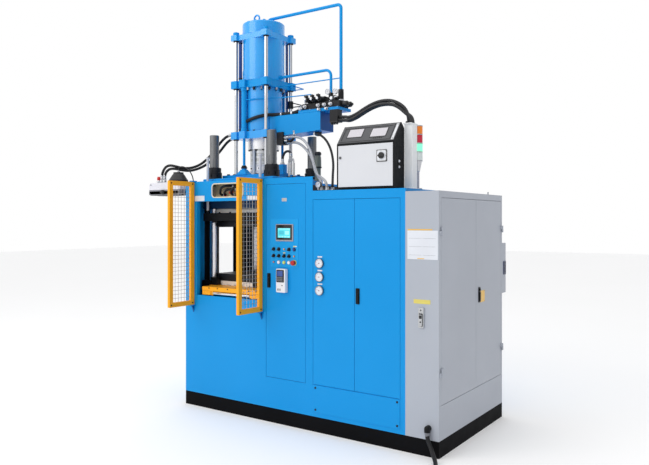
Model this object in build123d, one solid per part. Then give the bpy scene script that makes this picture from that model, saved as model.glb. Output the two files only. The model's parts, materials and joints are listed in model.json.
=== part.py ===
from build123d import *
import math
import os

# Vertical rubber injection moulding machine. Millimetres, +Z up.
# Origin: centre of the plinth on the floor. +X right along the front, +Y to the rear.

# Overall layout
MACHINE_D = 1230.0
PLINTH_H = 118.0
SHEET = 3.0
FIT = 0.05
REST_GAP = 0.3
PLATEN_HX = 416.0
PLATEN_HY = 372.5
CASING_CLEAR_LEFT = 21.0
CASING_CLEAR_RIGHT = 26.0

# Section widths along the front
PRESS_W = 2 * (PLATEN_HX + SHEET) + CASING_CLEAR_LEFT + CASING_CLEAR_RIGHT
COLUMN_W = 521.0
HYDRAULIC_W = 814.0
ELECTRICAL_W = 260.0
MACHINE_W = PRESS_W + COLUMN_W + HYDRAULIC_W + ELECTRICAL_W

LEFT_X = -MACHINE_W / 2
RIGHT_X = MACHINE_W / 2
FRONT_Y = -MACHINE_D / 2
REAR_Y = MACHINE_D / 2
PRESS_X1 = LEFT_X + PRESS_W
COLUMN_X1 = PRESS_X1 + COLUMN_W
HYDRAULIC_X1 = COLUMN_X1 + HYDRAULIC_W
PRESS_TOP = 1990.0
HYDRAULIC_TOP = 1878.0
ELECTRICAL_TOP = 1854.0

# Doors
DOOR_T = 20.0
DOOR_SHEET = 2.0
DOOR_GAP = 2.5
DOOR_EDGE_R = 1.5
LIP_D = 25.0
PIVOT_R = 3.0
PIVOT_IN = 5.0
PIVOT_LEN = 7.0
HANDLE_W = 32.0
HANDLE_H = 118.0
HANDLE_T = 12.0
HANDLE_IN = 30.0

CONTROL_DOOR_X0 = PRESS_X1 + 53.0
CONTROL_DOOR_X1 = COLUMN_X1 - 69.0
CONTROL_DOOR_Z0 = 368.0
CONTROL_DOOR_Z1 = 1938.0
CONTROL_HANDLE_Z = 1156.0

CABINET_DOOR_INSET = 5.5
CABINET_DOOR_X1 = HYDRAULIC_X1 - 43.0
CABINET_DOOR_SPLIT = CABINET_DOOR_X1 - 385.0
CABINET_DOOR_Z0 = 369.0
CABINET_DOOR_Z1 = 1807.0
CABINET_HANDLE_Z = 1081.0
KICK_Z0 = 152.0
KICK_T = 4.0

SIDE_DOOR_Y0 = FRONT_Y + 42.0
SIDE_DOOR_Y1 = REAR_Y - 25.0
SIDE_DOOR_SPLIT = (SIDE_DOOR_Y0 + SIDE_DOOR_Y1) / 2 + 41.5
SIDE_DOOR_Z0 = 360.0
SIDE_DOOR_Z1 = 1804.0
SIDE_HANDLE_Z = 1068.0

# Press axis and columns
AXIS_X = LEFT_X + SHEET + CASING_CLEAR_LEFT + PLATEN_HX
AXIS_Y = FRONT_Y + 560.0
TIE_R = 43.0
TIE_DX = PLATEN_HX - 75.0
TIE_DY = PLATEN_HY - 75.0
TIE_Z0 = 125.0
TIE_Z1 = 2429.0
NUT_R = 69.0
NUT_UPPER_H = 106.0
NUT_STEP_H = 60.0
NUT_STEP_R = 62.0
NUT_SLOT = 12.0

# Press bed and clamp cylinder
PLATEN_CHAMFER = 6.0
BED_Z0 = 230.0
BED_T = 170.0
BED_FOOT_X = 200.0
BED_FOOT_Y0 = 135.0
BED_FOOT_Y1 = 215.0
CLAMP_OUT_R = 215.0
CLAMP_FLANGE_R = 270.0
CLAMP_FLANGE_H = 40.0
CLAMP_Z0 = 170.0
CLAMP_Z1 = 770.0
CLAMP_BOTTOM_T = 30.0
RAM_R = 160.0

# Platens, heating plates and adapter plates
LOWER_PLATEN_Z0 = 846.0
LOWER_PLATEN_T = 160.0
INSULATION_LOWER_T = 24.0
HEATING_T = 69.7
ADAPTER_T = 65.0
UPPER_PLATEN_Z0 = 1750.0
UPPER_PLATEN_T = 274.0
INSULATION_UPPER_T = 8.0
UPPER_HEATING_T = 67.0
UPPER_ADAPTER_T = 86.0
PLATE_HX = TIE_DX - TIE_R - 28.0
PLATE_HY = PLATEN_HY - 27.5
INSULATION_INSET = 8.0
MOULD_HOLE_DX = PLATE_HX - 70.0
MOULD_HOLE_DY = PLATE_HY - 65.0
MOULD_HOLE_R = 8.0
MOULD_HOLE_DEPTH = 40.0
HEATER_HOLE_R = 8.0
HEATER_HOLES = 6
HEATER_PITCH = 2 * (PLATE_HX - 57.5) / (HEATER_HOLES - 1)
HEATER_DEPTH = 60.0
SPRUE_R = 12.0

# Slide table
TABLE_X0 = AXIS_X - PLATE_HX + 27.0
TABLE_X1 = AXIS_X + PLATEN_HX - 16.0
TABLE_FRONT_Y = FRONT_Y + 9.0
TABLE_Z0 = 990.0
TABLE_Z1 = 1062.0
TABLE_APRON_T = 20.0
TABLE_DECK_T = 32.0
TABLE_BACK_GAP = 5.0
TABLE_RAIL_W = 18.0
TABLE_SLOTS = 5
ROLLER_R = 14.0
ROLLER_X0 = TABLE_X0 + 118.0
ROLLER_X1 = TABLE_X1 - 70.0
ROLLER_Z = 1008.0
ROLLER_EAR_T = 14.0
ROLLER_PIN_R = 6.0

# Mould lift frame
LIFT_BEAM_HX = TIE_DX + 5.0
LIFT_BEAM_Y0 = AXIS_Y - PLATEN_HY - 62.5
LIFT_BEAM_T = 40.0
LIFT_BEAM_Z0 = 1640.0
LIFT_BEAM_H = 72.0
LIFT_ROD_DX = TIE_DX - 31.0
LIFT_ROD_R = 12.0
LIFT_ROD_TOP = 2215.0
LIFT_STOP_R = 18.0
LIFT_STOP_H = 14.0
LIFT_BRACKET_Z0 = 1850.0
LIFT_BRACKET_H = 50.0
LIFT_BRACKET_HX = 28.0
LIFT_HOOK_W = 60.0
LIFT_HOOK_D = 30.0
LIFT_HOOK_T = 16.0

# Press casing openings
FRONT_OPEN_X0 = LEFT_X + 140.0
FRONT_OPEN_X1 = PRESS_X1 - 10.0
FRONT_OPEN_Z0 = 985.0
FRONT_OPEN_Z1 = 1813.0
OPEN_LIP_D = 40.0
HEADER_WIN_X0 = AXIS_X - 110.0
HEADER_WIN_X1 = AXIS_X + 240.0
HEADER_WIN_Z0 = 1850.0
HEADER_WIN_Z1 = 1959.0
HEADER_WIN_R = 25.0
HEADER_TRIM_W = 9.0
HEADER_TRIM_T = 3.0
SIDE_WIN_Y0 = AXIS_Y - 185.0
SIDE_WIN_Y1 = AXIS_Y + 61.0
SIDE_WIN_Z0 = 1137.0
SIDE_WIN_Z1 = 1581.0
TOP_CLEAR = 6.0
TOP_ROD_HOLE_R = 17.0

# Guards
GUARD_W = 290.0
GUARD_Z0 = 897.0
GUARD_Z1 = 1988.0
GUARD_TUBE_W = 40.0
GUARD_TUBE_T = 25.0
GUARD_HINGE_LEFT_X = LEFT_X + 100.0
GUARD_HINGE_RIGHT_X = PRESS_X1 + 4.0
GUARD_HINGE_OFF = 25.0
GUARD_PIN_R = 8.0
GUARD_PIN_LEN = 9.0
GUARD_BRACKET_T = 10.0
GUARD_BRACKET_HX = 20.0
GUSSET_H = 60.0
GUSSET_T = 12.0
MESH_WIRE = 3.0
MESH_COLUMNS = 3
MESH_ROWS = 15

# Control door equipment
OPERATOR_X0 = CONTROL_DOOR_X0 + 48.0
OPERATOR_X1 = CONTROL_DOOR_X1 - 70.0
OPERATOR_Z0 = 1270.0
OPERATOR_Z1 = 1659.0
OPERATOR_T = 2.0
HMI_X = (OPERATOR_X0 + OPERATOR_X1) / 2 + 5.0
HMI_Z = 1547.0
HMI_W = 177.0
HMI_H = 138.0
HMI_BEZEL_T = 7.0
HMI_BODY_W = 160.0
HMI_BODY_H = 122.0
HMI_BODY_D = 45.0
HMI_SCREEN_W = 135.0
HMI_SCREEN_H = 82.0
CONTROL_X = [OPERATOR_X0 + offset for offset in (34.0, 87.0, 141.0, 191.0, 242.0)]
CONTROL_Z = [1414.0, 1360.0, 1308.0]
SELECTORS = [(0, 0), (0, 1), (0, 3), (1, 0), (1, 1), (1, 2), (1, 3)]
BUTTONS = [(0, 4), (2, 1), (2, 2), (2, 3)]
LAMPS = [(0, 2), (1, 4), (2, 0)]
ESTOP_CELL = (2, 4)
SWITCH_HOLE_R = 11.0
SWITCH_RING_R = 15.0
SWITCH_RING_H = 5.0
SWITCH_CAP_R = 11.0
BUTTON_H = 11.0
LAMP_R = 7.0
LAMP_H = 8.0
KNOB_H = 18.0
KNOB_W = 8.0
CONTACT_W = 26.0
CONTACT_D = 42.0
ESTOP_R = 20.0
ESTOP_STEM_R = 8.0
ESTOP_HEAD_H = 14.0
ESTOP_STANDOFF = 16.0
ESTOP_TRAVEL = 6.0
HANDSET_X = (OPERATOR_X0 + OPERATOR_X1) / 2 - 9.0
HANDSET_W = 93.0
HANDSET_Z0 = 1068.0
HANDSET_Z1 = 1258.0
HANDSET_T = 34.0
HANDSET_HOLDER_T = 6.0
HANDSET_HOLDER_H = 70.0

# Pressure gauges on the left hydraulic door
GAUGE_X = COLUMN_X1 + 70.0
GAUGE_Z = [1314.0, 1208.0, 1103.0]
GAUGE_R = 37.5
GAUGE_H = 16.0
GAUGE_RIM = 4.0
GAUGE_STEM_R = 8.0
GAUGE_STEM_LEN = 30.0

# Hydraulic cabinet contents
HOSE_PORT_X0 = COLUMN_X1 + 19.0
HOSE_PORT_X1 = COLUMN_X1 + 194.0
HOSE_PORT_Y0 = FRONT_Y + 55.0
HOSE_PORT_Y1 = FRONT_Y + 185.0
TANK_X0 = COLUMN_X1 + 74.0
TANK_X1 = HYDRAULIC_X1 - 80.0
TANK_Y0 = FRONT_Y + 265.0
TANK_Y1 = REAR_Y - 165.0
TANK_LEG_H = 60.0
TANK_H = 420.0
TANK_LID_T = 8.0
TANK_LID_OVER = 15.0
MOTOR_X = (TANK_X0 + TANK_X1) / 2 - 50.0
MOTOR_Y0 = TANK_Y0 + 290.0
MOTOR_LEN = 330.0
MOTOR_R = 115.0
MOTOR_FIN_R = 125.0
MOTOR_FINS = 24
MOTOR_FIN_W = 5.0
MOTOR_FOOT_H = 135.0
PUMP_R = 60.0
PUMP_LEN = 150.0
BELL_R = 95.0
BELL_LEN = 70.0
LOUVRE_COUNT = 8
LOUVRE_W = 400.0
LOUVRE_H = 10.0
LOUVRE_PITCH = 34.0
LOUVRE_Z0 = 1420.0

# Electrical cabinet contents and cooling unit
PANEL_X = HYDRAULIC_X1 + 20.0
PANEL_T = 3.0
PANEL_Y0 = FRONT_Y + 95.0
PANEL_Y1 = REAR_Y - 95.0
PANEL_Z0 = 420.0
PANEL_Z1 = 1740.0
RAIL_ROWS = 5
RAIL_PITCH = 240.0
RAIL_Z0 = 560.0
RAIL_H = 35.0
RAIL_T = 8.0
DEVICE_W = 54.0
DEVICE_H = 90.0
DEVICE_T = 75.0
DEVICE_PITCH = 72.0
DEVICE_COUNT = 12
COOLER_X0 = HYDRAULIC_X1 + 20.0
COOLER_X1 = RIGHT_X - 18.0
COOLER_D = 146.0
COOLER_Z0 = 1030.0
COOLER_Z1 = 1453.0
COOLER_SLOTS = 9
COOLER_SLOT_H = 8.0
COOLER_SLOT_PITCH = 20.0
COOLER_SLOT_D = 12.0
HINGE_R = 8.0
HINGE_PIN_R = 4.0
HINGE_H = 56.0
HINGE_LEAF = 26.0
HINGE_STANDOFF = 9.0
SIDE_HINGE_DZ = 230.0
SWING_LOCK_X0 = RIGHT_X - 156.0
SWING_LOCK_X1 = RIGHT_X - 110.0
SWING_LOCK_Z0 = 891.0
SWING_LOCK_Z1 = 1038.0
SWING_LOCK_T = 8.0
CABLE_X = RIGHT_X - 77.0
CABLE_Z = 202.0
CABLE_R = 15.0
GLAND_R = 21.0
GLAND_OUT = 25.0
GLAND_DROP = 24.0

# Console, duct and signal tower on the roof
CONSOLE_X0 = HYDRAULIC_X1 - 597.0
CONSOLE_X1 = HYDRAULIC_X1 - 100.0
CONSOLE_FRONT_Y = FRONT_Y + 17.0
CONSOLE_REAR_Y = FRONT_Y + 172.0
CONSOLE_Z0 = 1887.0
CONSOLE_FRONT_Z1 = 2224.0
CONSOLE_APEX_Y = FRONT_Y + 129.0
CONSOLE_APEX_Z = 2370.0
CONSOLE_REAR_Z1 = 2331.0
CONSOLE_SHEET = 2.0
CONSOLE_DOOR_IN = 12.0
CONSOLE_DOOR_T = 15.0
CONSOLE_RAIL_W = 30.0
SCREEN_DEPTH = 4.0
MAIN_SWITCH_X = CONSOLE_X1 - 103.0
MAIN_SWITCH_Z = 2121.0
MAIN_SWITCH_R = 24.0
MAIN_SWITCH_H = 10.0
MAIN_SWITCH_GRIP_W = 12.0
MAIN_SWITCH_GRIP_H = 20.0
MAIN_SWITCH_PLATE = 80.0
MAIN_SWITCH_PLATE_T = 3.0
MAIN_SWITCH_SHAFT_R = 5.0
DUCT_X0 = CONSOLE_X1 + 4.0
DUCT_X1 = DUCT_X0 + 66.0
DUCT_Y0 = FRONT_Y + 165.0
DUCT_Y1 = DUCT_Y0 + 80.0
DUCT_Z1 = 2360.0
TOWER_X = DUCT_X1 - 15.0
TOWER_Y = DUCT_Y1 + 40.0
TOWER_R = 35.0
TOWER_Z0 = 2091.0
TOWER_MODULE_H = 65.0
TOWER_MODULES = 4
TOWER_POLE_R = 11.0
TOWER_FOOT_R = 32.0
TOWER_FOOT_H = 8.0

# Unit on the left wall
SIDE_UNIT_X0 = LEFT_X - 460.0
SIDE_UNIT_X1 = LEFT_X - 50.0
SIDE_UNIT_Y0 = FRONT_Y - 30.0
SIDE_UNIT_Y1 = FRONT_Y + 140.0
SIDE_UNIT_Z0 = 1881.0
SIDE_UNIT_Z1 = 1995.0
SIDE_UNIT_R = 32.0
SIDE_CUP_X = LEFT_X - 155.0
SIDE_CUP_R0 = 85.0
SIDE_CUP_R1 = 46.0
SIDE_CUP_Z1 = 2087.0
SIDE_PORT_X = [LEFT_X - offset for offset in (420.0, 380.0, 340.0)]
SIDE_PORT_R = 14.0
SIDE_PORT_H = 30.0
SIDE_ARM_T = 8.0

# Injection unit
ROD_D = 179.0
ROD_R = 16.5
ROD_Z0 = 1790.0
ROD_NUT_R = 27.0
ROD_NUT_H = 24.0
BASE_PLATE_HX = TIE_DX - 41.0
BASE_PLATE_HY = TIE_DY - 62.5
BASE_PLATE_Z0 = 2024.0
BASE_SPACER_T = 12.0
BASE_PLATE_T = 24.0
EAR = 74.0
EAR_OUT = 37.0
PLATE_CORE = 192.0
TOP_PLATE_Z0 = 3300.0
TOP_PLATE_T = 50.0
CAP_R = 196.0
CAP_H = 111.0
CYLINDER_R = 193.5
CYLINDER_COLLAR_R = 197.0
CYLINDER_COLLAR_H = 92.0
PISTON_R = 130.0
PISTON_T = 70.0
PLUNGER_R = 60.0
PLUNGER_Z0 = 2330.0
MID_PLATE_Z0 = 2858.0
MID_PLATE_T = 68.0
BODY_R = 172.5
LOW_PLATE_Z0 = 2390.0
LOW_PLATE_T = 67.0
RING_R = 145.0
RING_Z0 = 2297.0
BARREL_R = 123.0
BARREL_Z0 = 2161.0
COLLAR_R = 124.0
COLLAR_Z0 = 2078.0
NOZZLE_R = 55.0
NOZZLE_TIP_R = 18.0
NOZZLE_BORE_R = 5.0
NOZZLE_TAPER_Z = 1800.0
EYEBOLT_DX = -65.0
EYEBOLT_RING_R = 32.0
EYEBOLT_WIRE_R = 9.0
EYEBOLT_COLLAR_R = 22.0
EYEBOLT_COLLAR_H = 16.0

# Lift cylinders for the injection unit
LIFT_DX = -71.0
LIFT_DY = -191.0
LIFT_BARREL_R = 25.0
LIFT_PISTON_R = 12.0
LIFT_PISTON_TOP = 2720.0
LIFT_BLOCK_H = 50.0
LIFT_BLOCK_HX = 60.0
LIFT_BLOCK_TOP_HX = 22.0
STOP_ROD_DY = -137.0

# Beam arm and valves
BEAM_X1 = AXIS_X + 717.0
BEAM_HY = 100.0
BEAM_Z1 = 2585.0
BEAM_ROOT_Z0 = 2400.0
BEAM_END_Z0 = 2424.0
VALVE_PLATE_X0 = AXIS_X + 480.0
VALVE_PLATE_X1 = AXIS_X + 900.0
VALVE_PLATE_T = 22.0
VALVE_BLOCK_X0 = AXIS_X + 500.0
VALVE_BLOCK_X1 = AXIS_X + 895.0
VALVE_BLOCK_H = 60.0
VALVE_BLOCK_HY = 70.0
VALVE_COUNT = 3
VALVE_PITCH = 64.0
VALVE_W = 46.0
VALVE_H = 52.0
VALVE_COIL_R = 21.0
VALVE_COIL_LEN = 62.0
VALVE_FIRST_X = AXIS_X + 575.0
JUNCTION_X = (AXIS_X + 820.0, AXIS_X + 900.0)
JUNCTION_Y = (AXIS_Y - 110.0, AXIS_Y - 40.0)
JUNCTION_Z0 = 2480.0
UNDER_BLOCKS = [((AXIS_X + 240.0, AXIS_X + 320.0), (AXIS_Y - 117.0, AXIS_Y - 35.0), 2322.0),
                ((AXIS_X + 610.0, AXIS_X + 650.0), (AXIS_Y - 25.0, AXIS_Y + 15.0), 2386.0)]

# Rigid pipes
MAIN_PIPE_R = 14.0
MAIN_PIPE_START_X = AXIS_X + 55.0
MAIN_PIPE_X = AXIS_X + 863.0
MAIN_PIPE_Z = 3502.0
MAIN_PIPE_FOOT = 2769.0
SECOND_PIPE_R = 12.5
SECOND_PIPE_X = AXIS_X + 759.0
SECOND_PIPE_Z = 2954.0
SECOND_PIPE_FOOT = 2750.0
THIN_PIPE_R = 5.0
DRAIN_PIPE_Z = 2869.0
BLEED_ROUTE = [(-45.5, -191, 2745), (8, -191, 2745), (150, -140, 2750), (240, -65, 2752),
               (480, -15, 2757), (575, -15, 2757), (575, -15, 2719)]

# Hoses and cables, as hand-chosen points from the fixed end or the exit
CONDUIT_R = 13.0
CONDUIT_OFFSETS = [(-15.0, -14.0), (15.0, -14.0), (0.0, 14.0)]
CONDUIT_ROUTE = [(100, -130, 2505), (152, -130, 2505), (222, -178, 2486), (310, -212, 2498),
                 (410, -252, 2528), (520, -295, 2554), (630, -335, 2562), (735, -368, 2548),
                 (820, -392, 2508), (876, -404, 2460), (914, -410, 2408), (914, -410, 2360)]
SIDE_HOSE_R = 12.0
SIDE_ROUTES = [
    [(-1016, -245, 2435), (-1062, -245, 2435), (-1118, -250, 2410), (-1172, -262, 2355), (-1222, -285, 2285),
     (-1270, -320, 2216), (-1320, -368, 2162), (-1372, -424, 2134), (-1424, -476, 2132), (-1472, -520, 2148),
     (-1518, -548, 2160), (-1562, -560, 2148), (-1598, -560, 2114), (-1618, -560, 2070), (-1618, -560, 2025)],
    [(-1016, -215, 2403), (-1062, -215, 2403), (-1114, -222, 2370), (-1166, -240, 2304), (-1216, -272, 2234),
     (-1268, -318, 2172), (-1322, -372, 2130), (-1378, -428, 2108), (-1432, -480, 2112), (-1482, -522, 2128),
     (-1526, -548, 2126), (-1560, -559, 2100), (-1578, -560, 2062), (-1578, -560, 2025)],
]
GREY_HOSE_R = 11.0
HOSE_FLOOR = HYDRAULIC_TOP - SHEET
GREY_ROUTES = [
    [(-480, -125, 2340), (-430, -125, 2340), (-350, -145, 2335), (-275, -165, 2305), (-205, -187, 2255),
     (-134, -218, 2190), (-75, -262, 2122), (-16, -318, 2058), (48, -378, 2010), (108, -440, 1984),
     (160, -500, 1966), (191, -538, 1938), (198, -546, 1908), (198, -546, HOSE_FLOOR)],
    [(-480, -150, 2385), (-425, -150, 2385), (-345, -160, 2382), (-270, -175, 2362), (-205, -192, 2315),
     (-150, -212, 2250), (-100, -247, 2175), (-45, -302, 2098), (18, -365, 2040), (86, -424, 2006),
     (156, -474, 1986), (212, -509, 1960), (236, -521, 1925), (238, -522, 1900), (238, -522, HOSE_FLOOR)],
]
DROP_HOSE_R = 10.0
DROP_ROUTE = [(-170, -80, 2400), (-170, -118, 2400), (-120, -150, 2394), (-58, -166, 2368), (2, -180, 2320),
              (58, -203, 2246), (102, -238, 2165), (140, -285, 2092), (172, -340, 2030), (205, -392, 1982),
              (230, -430, 1940), (238, -446, 1905), (238, -446, HOSE_FLOOR)]
SUPPLY_ROUTE = [(1163, -640, 178), (1163, -640, 146), (1178, -647, 112), (1204, -662, 77), (1232, -688, 46),
                (1264, -725, 25), (1294, -775, 15.5), (1318, -838, 15.2), (1334, -905, 15.4),
                (1342, -975, 15.2), (1343, -1045, 15.4)]
COIL_X = 1505.0
COIL_Y = -1040.0
COIL_MEAN_R = 165.0
COIL_BAND = 62.0
COIL_H = 60.0


# Shape helpers
def block(x0, x1, y0, y1, z0, z1):
    """Box between two corners"""
    middle = Pos((x0 + x1) / 2, (y0 + y1) / 2, (z0 + z1) / 2)
    return middle * Box(x1 - x0, y1 - y0, z1 - z0)


def post(x, y, z0, z1, radius):
    """Upright cylinder"""
    return Pos(x, y, (z0 + z1) / 2) * Cylinder(radius, z1 - z0)


def pin_y(x, y0, y1, z, radius):
    """Cylinder along Y"""
    return Pos(x, (y0 + y1) / 2, z) * Rot(90, 0, 0) * Cylinder(radius, y1 - y0)


def pin_x(x0, x1, y, z, radius):
    """Cylinder along X"""
    return Pos((x0 + x1) / 2, y, z) * Rot(0, 90, 0) * Cylinder(radius, x1 - x0)


def turned(x, y, outline):
    """Solid of revolution about an upright axis from (radius, height) points"""
    face = make_face(Plane.XZ * Polyline(*outline, close=True))
    return Pos(x, y, 0) * revolve(face, Axis.Z)


def rounded_block(x0, x1, y0, y1, z0, z1, radius, axis=Axis.Z):
    """Box with the four edges along one axis rounded"""
    body = block(x0, x1, y0, y1, z0, z1)
    return fillet(body.edges().filter_by(axis), radius)


def corners(x, y, dx, dy):
    """Four points round a centre"""
    return [(x + sx * dx, y + sy * dy) for sx in (-1, 1) for sy in (-1, 1)]


def union(first, *others):
    """One solid from pieces that overlap"""
    body = first
    for other in others:
        body = body + other
    return body


def group(*pieces):
    """Separate solids in one node"""
    solids = []
    for piece in pieces:
        solids += piece.solids()
    return Compound(children=solids)


# Casing and door helpers. A front panel lies in the plane y = 0 of its own frame,
# its outside towards -Y, and is then placed on the front or on the right-hand side.
def on_front(shape):
    return Pos(0, FRONT_Y, 0) * shape


def on_side(shape):
    return Pos(RIGHT_X, 0, 0) * Rot(0, 0, 90) * shape


def casing(x0, x1, y0, y1, z0, z1, sheet=SHEET):
    """Sheet casing, open at the bottom"""
    outer = block(x0, x1, y0, y1, z0, z1)
    inner = block(x0 + sheet, x1 - sheet, y0 + sheet, y1 - sheet, z0 - 1, z1 - sheet)
    return outer - inner


def cut_opening(body, place, x0, x1, z0, z1, lip=LIP_D, sheet=SHEET, gap=DOOR_GAP):
    """Opening for a door leaf, with lips folded inwards"""
    a0, a1, b0, b1 = x0 - gap, x1 + gap, z0 - gap, z1 + gap
    frame = block(a0 - sheet, a1 + sheet, 0, lip, b0 - sheet, b1 + sheet)
    hole = block(a0, a1, -1, lip + 1, b0, b1)
    return body + place(frame) - place(hole)


def pivot_holes(body, place, hinge_x, z0, z1, radius=PIVOT_R):
    """Holes in the lips for a door's two pivot pins"""
    for edge, way in ((z0, -1), (z1, 1)):
        low, high = sorted((edge, edge + way * (PIVOT_LEN + 1)))
        body = body - place(post(hinge_x, PIVOT_IN, low, high, radius + FIT))
    return body


def pan(x0, x1, z0, z1, depth=DOOR_T, sheet=DOOR_SHEET):
    """Folded door leaf, open at the back, with softened front edges"""
    leaf = block(x0, x1, 0, depth, z0, z1)
    leaf = chamfer(leaf.faces().sort_by(Axis.Y)[0].edges(), DOOR_EDGE_R * 0.6)
    return leaf - block(x0 + sheet, x1 - sheet, sheet, depth + 1, z0 + sheet, z1 - sheet)


def pivot_pins(leaf, hinge_x, z0, z1, inner_x):
    """Pivot blocks inside the leaf and the pins that stand out of its ends"""
    low, high = sorted((hinge_x + (PIVOT_IN if hinge_x > inner_x else -PIVOT_IN), inner_x))
    for edge, way in ((z0, 1), (z1, -1)):
        b0, b1 = sorted((edge, edge + way * 30))
        leaf = leaf + block(low, high, 0.5, 15, b0, b1)
        p0, p1 = sorted((edge + way * 5, edge - way * PIVOT_LEN))
        leaf = leaf + post(hinge_x, PIVOT_IN, p0, p1, PIVOT_R)
    return leaf


def flush_door(x0, x1, z0, z1, hinge_right, depth=DOOR_T):
    """Door leaf on two pivots, with the hinge axis just inside one edge"""
    leaf = pan(x0, x1, z0, z1, depth)
    hinge_x = x1 - PIVOT_IN if hinge_right else x0 + PIVOT_IN
    inner_x = hinge_x - 15 if hinge_right else hinge_x + 15
    return pivot_pins(leaf, hinge_x, z0, z1, inner_x)


def pull_latch(x, z):
    """Black handle plate: a rounded flap on a raised frame"""
    frame = rounded_block(x - HANDLE_W / 2, x + HANDLE_W / 2, -HANDLE_T * 0.5, 0.5,
                          z - HANDLE_H / 2, z + HANDLE_H / 2, 6, Axis.Y)
    flap = rounded_block(x - HANDLE_W * 0.3, x + HANDLE_W * 0.3, -HANDLE_T, 0,
                         z - HANDLE_H * 0.42, z + HANDLE_H * 0.18, 5, Axis.Y)
    barrel = pin_y(x, -HANDLE_T, 0, z + HANDLE_H * 0.34, HANDLE_W * 0.3)
    return union(frame, flap, barrel)


# Frame and press
def base_frame():
    body = block(LEFT_X, RIGHT_X, FRONT_Y, REAR_Y, 0, PLINTH_H)
    edge = body.faces().sort_by(Axis.Z)[-1].edges()
    return chamfer(edge, 2)


def press_bed():
    z1 = BED_Z0 + BED_T
    bed = block(AXIS_X - PLATEN_HX, AXIS_X + PLATEN_HX, AXIS_Y - PLATEN_HY, AXIS_Y + PLATEN_HY, BED_Z0, z1)
    bed = chamfer(bed.edges(), PLATEN_CHAMFER)
    for sx in (-1, 1):
        for sy in (-1, 1):
            x0, x1 = sorted((AXIS_X + sx * BED_FOOT_X, AXIS_X + sx * PLATEN_HX))
            y0, y1 = sorted((AXIS_Y + sy * BED_FOOT_Y0, AXIS_Y + sy * BED_FOOT_Y1))
            bed = bed + block(x0, x1, y0, y1, PLINTH_H, BED_Z0 + PLATEN_CHAMFER)
    bed = bed - post(AXIS_X, AXIS_Y, BED_Z0 - 1, z1 + 1, CLAMP_OUT_R + FIT)
    for x, y in corners(AXIS_X, AXIS_Y, TIE_DX, TIE_DY):
        bed = bed - post(x, y, BED_Z0 - 1, z1 + 1, TIE_R + FIT)
    return bed


def clamp_cylinder():
    flange = BED_Z0 + BED_T
    inner = RAM_R + FIT
    bottom = CLAMP_Z0 + CLAMP_BOTTOM_T
    outline = [(0, CLAMP_Z0), (CLAMP_OUT_R, CLAMP_Z0), (CLAMP_OUT_R, flange),
               (CLAMP_FLANGE_R, flange), (CLAMP_FLANGE_R, flange + CLAMP_FLANGE_H),
               (CLAMP_OUT_R, flange + CLAMP_FLANGE_H), (CLAMP_OUT_R, CLAMP_Z1),
               (inner, CLAMP_Z1), (inner, bottom), (0, bottom)]
    return turned(AXIS_X, AXIS_Y, outline)


def clamp_ram():
    z0 = CLAMP_Z0 + CLAMP_BOTTOM_T + REST_GAP
    ram = post(AXIS_X, AXIS_Y, z0, LOWER_PLATEN_Z0, RAM_R)
    return chamfer(ram.faces().sort_by(Axis.Z)[0].edges(), 5)


def tie_bars():
    bars = []
    for x, y in corners(AXIS_X, AXIS_Y, TIE_DX, TIE_DY):
        bar = post(x, y, TIE_Z0, TIE_Z1, TIE_R)
        bars.append(chamfer(bar.edges(), 4))
    return group(*bars)


def tie_bar_nuts():
    """Slotted round nuts, plain below the bed and stepped on the upper platen"""
    upper = UPPER_PLATEN_Z0 + UPPER_PLATEN_T
    step = upper + NUT_STEP_H
    top = upper + NUT_UPPER_H
    bore = TIE_R + FIT
    lower_outline = [(bore, TIE_Z0), (NUT_R, TIE_Z0), (NUT_R, BED_Z0), (bore, BED_Z0)]
    upper_outline = [(bore, upper), (NUT_R, upper), (NUT_R, step), (NUT_STEP_R, step + 4),
                     (NUT_STEP_R, top - 4), (NUT_STEP_R - 4, top), (bore, top)]
    nuts = []
    for x, y in corners(AXIS_X, AXIS_Y, TIE_DX, TIE_DY):
        nuts.append(turned(x, y, lower_outline))
        nut = turned(x, y, upper_outline)
        for angle in range(0, 180, 45):
            slot = Box(3 * NUT_R, NUT_SLOT, NUT_STEP_H * 0.45) - Cylinder(NUT_R - 9, NUT_STEP_H)
            nut = nut - Pos(x, y, upper + NUT_STEP_H * 0.5) * Rot(0, 0, angle + 20) * slot
        nuts.append(nut)
    return group(*nuts)


def platen(z0, thickness):
    """Steel platen with four column bores"""
    z1 = z0 + thickness
    body = block(AXIS_X - PLATEN_HX, AXIS_X + PLATEN_HX, AXIS_Y - PLATEN_HY, AXIS_Y + PLATEN_HY, z0, z1)
    body = chamfer(body.edges(), PLATEN_CHAMFER)
    for x, y in corners(AXIS_X, AXIS_Y, TIE_DX, TIE_DY):
        body = body - post(x, y, z0 - 1, z1 + 1, TIE_R + FIT)
    return body


def lower_platen():
    return platen(LOWER_PLATEN_Z0, LOWER_PLATEN_T)


def lift_rod_places():
    y = LIFT_BEAM_Y0 + LIFT_BEAM_T / 2
    return [(AXIS_X - LIFT_ROD_DX, y), (AXIS_X + LIFT_ROD_DX, y)]


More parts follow.
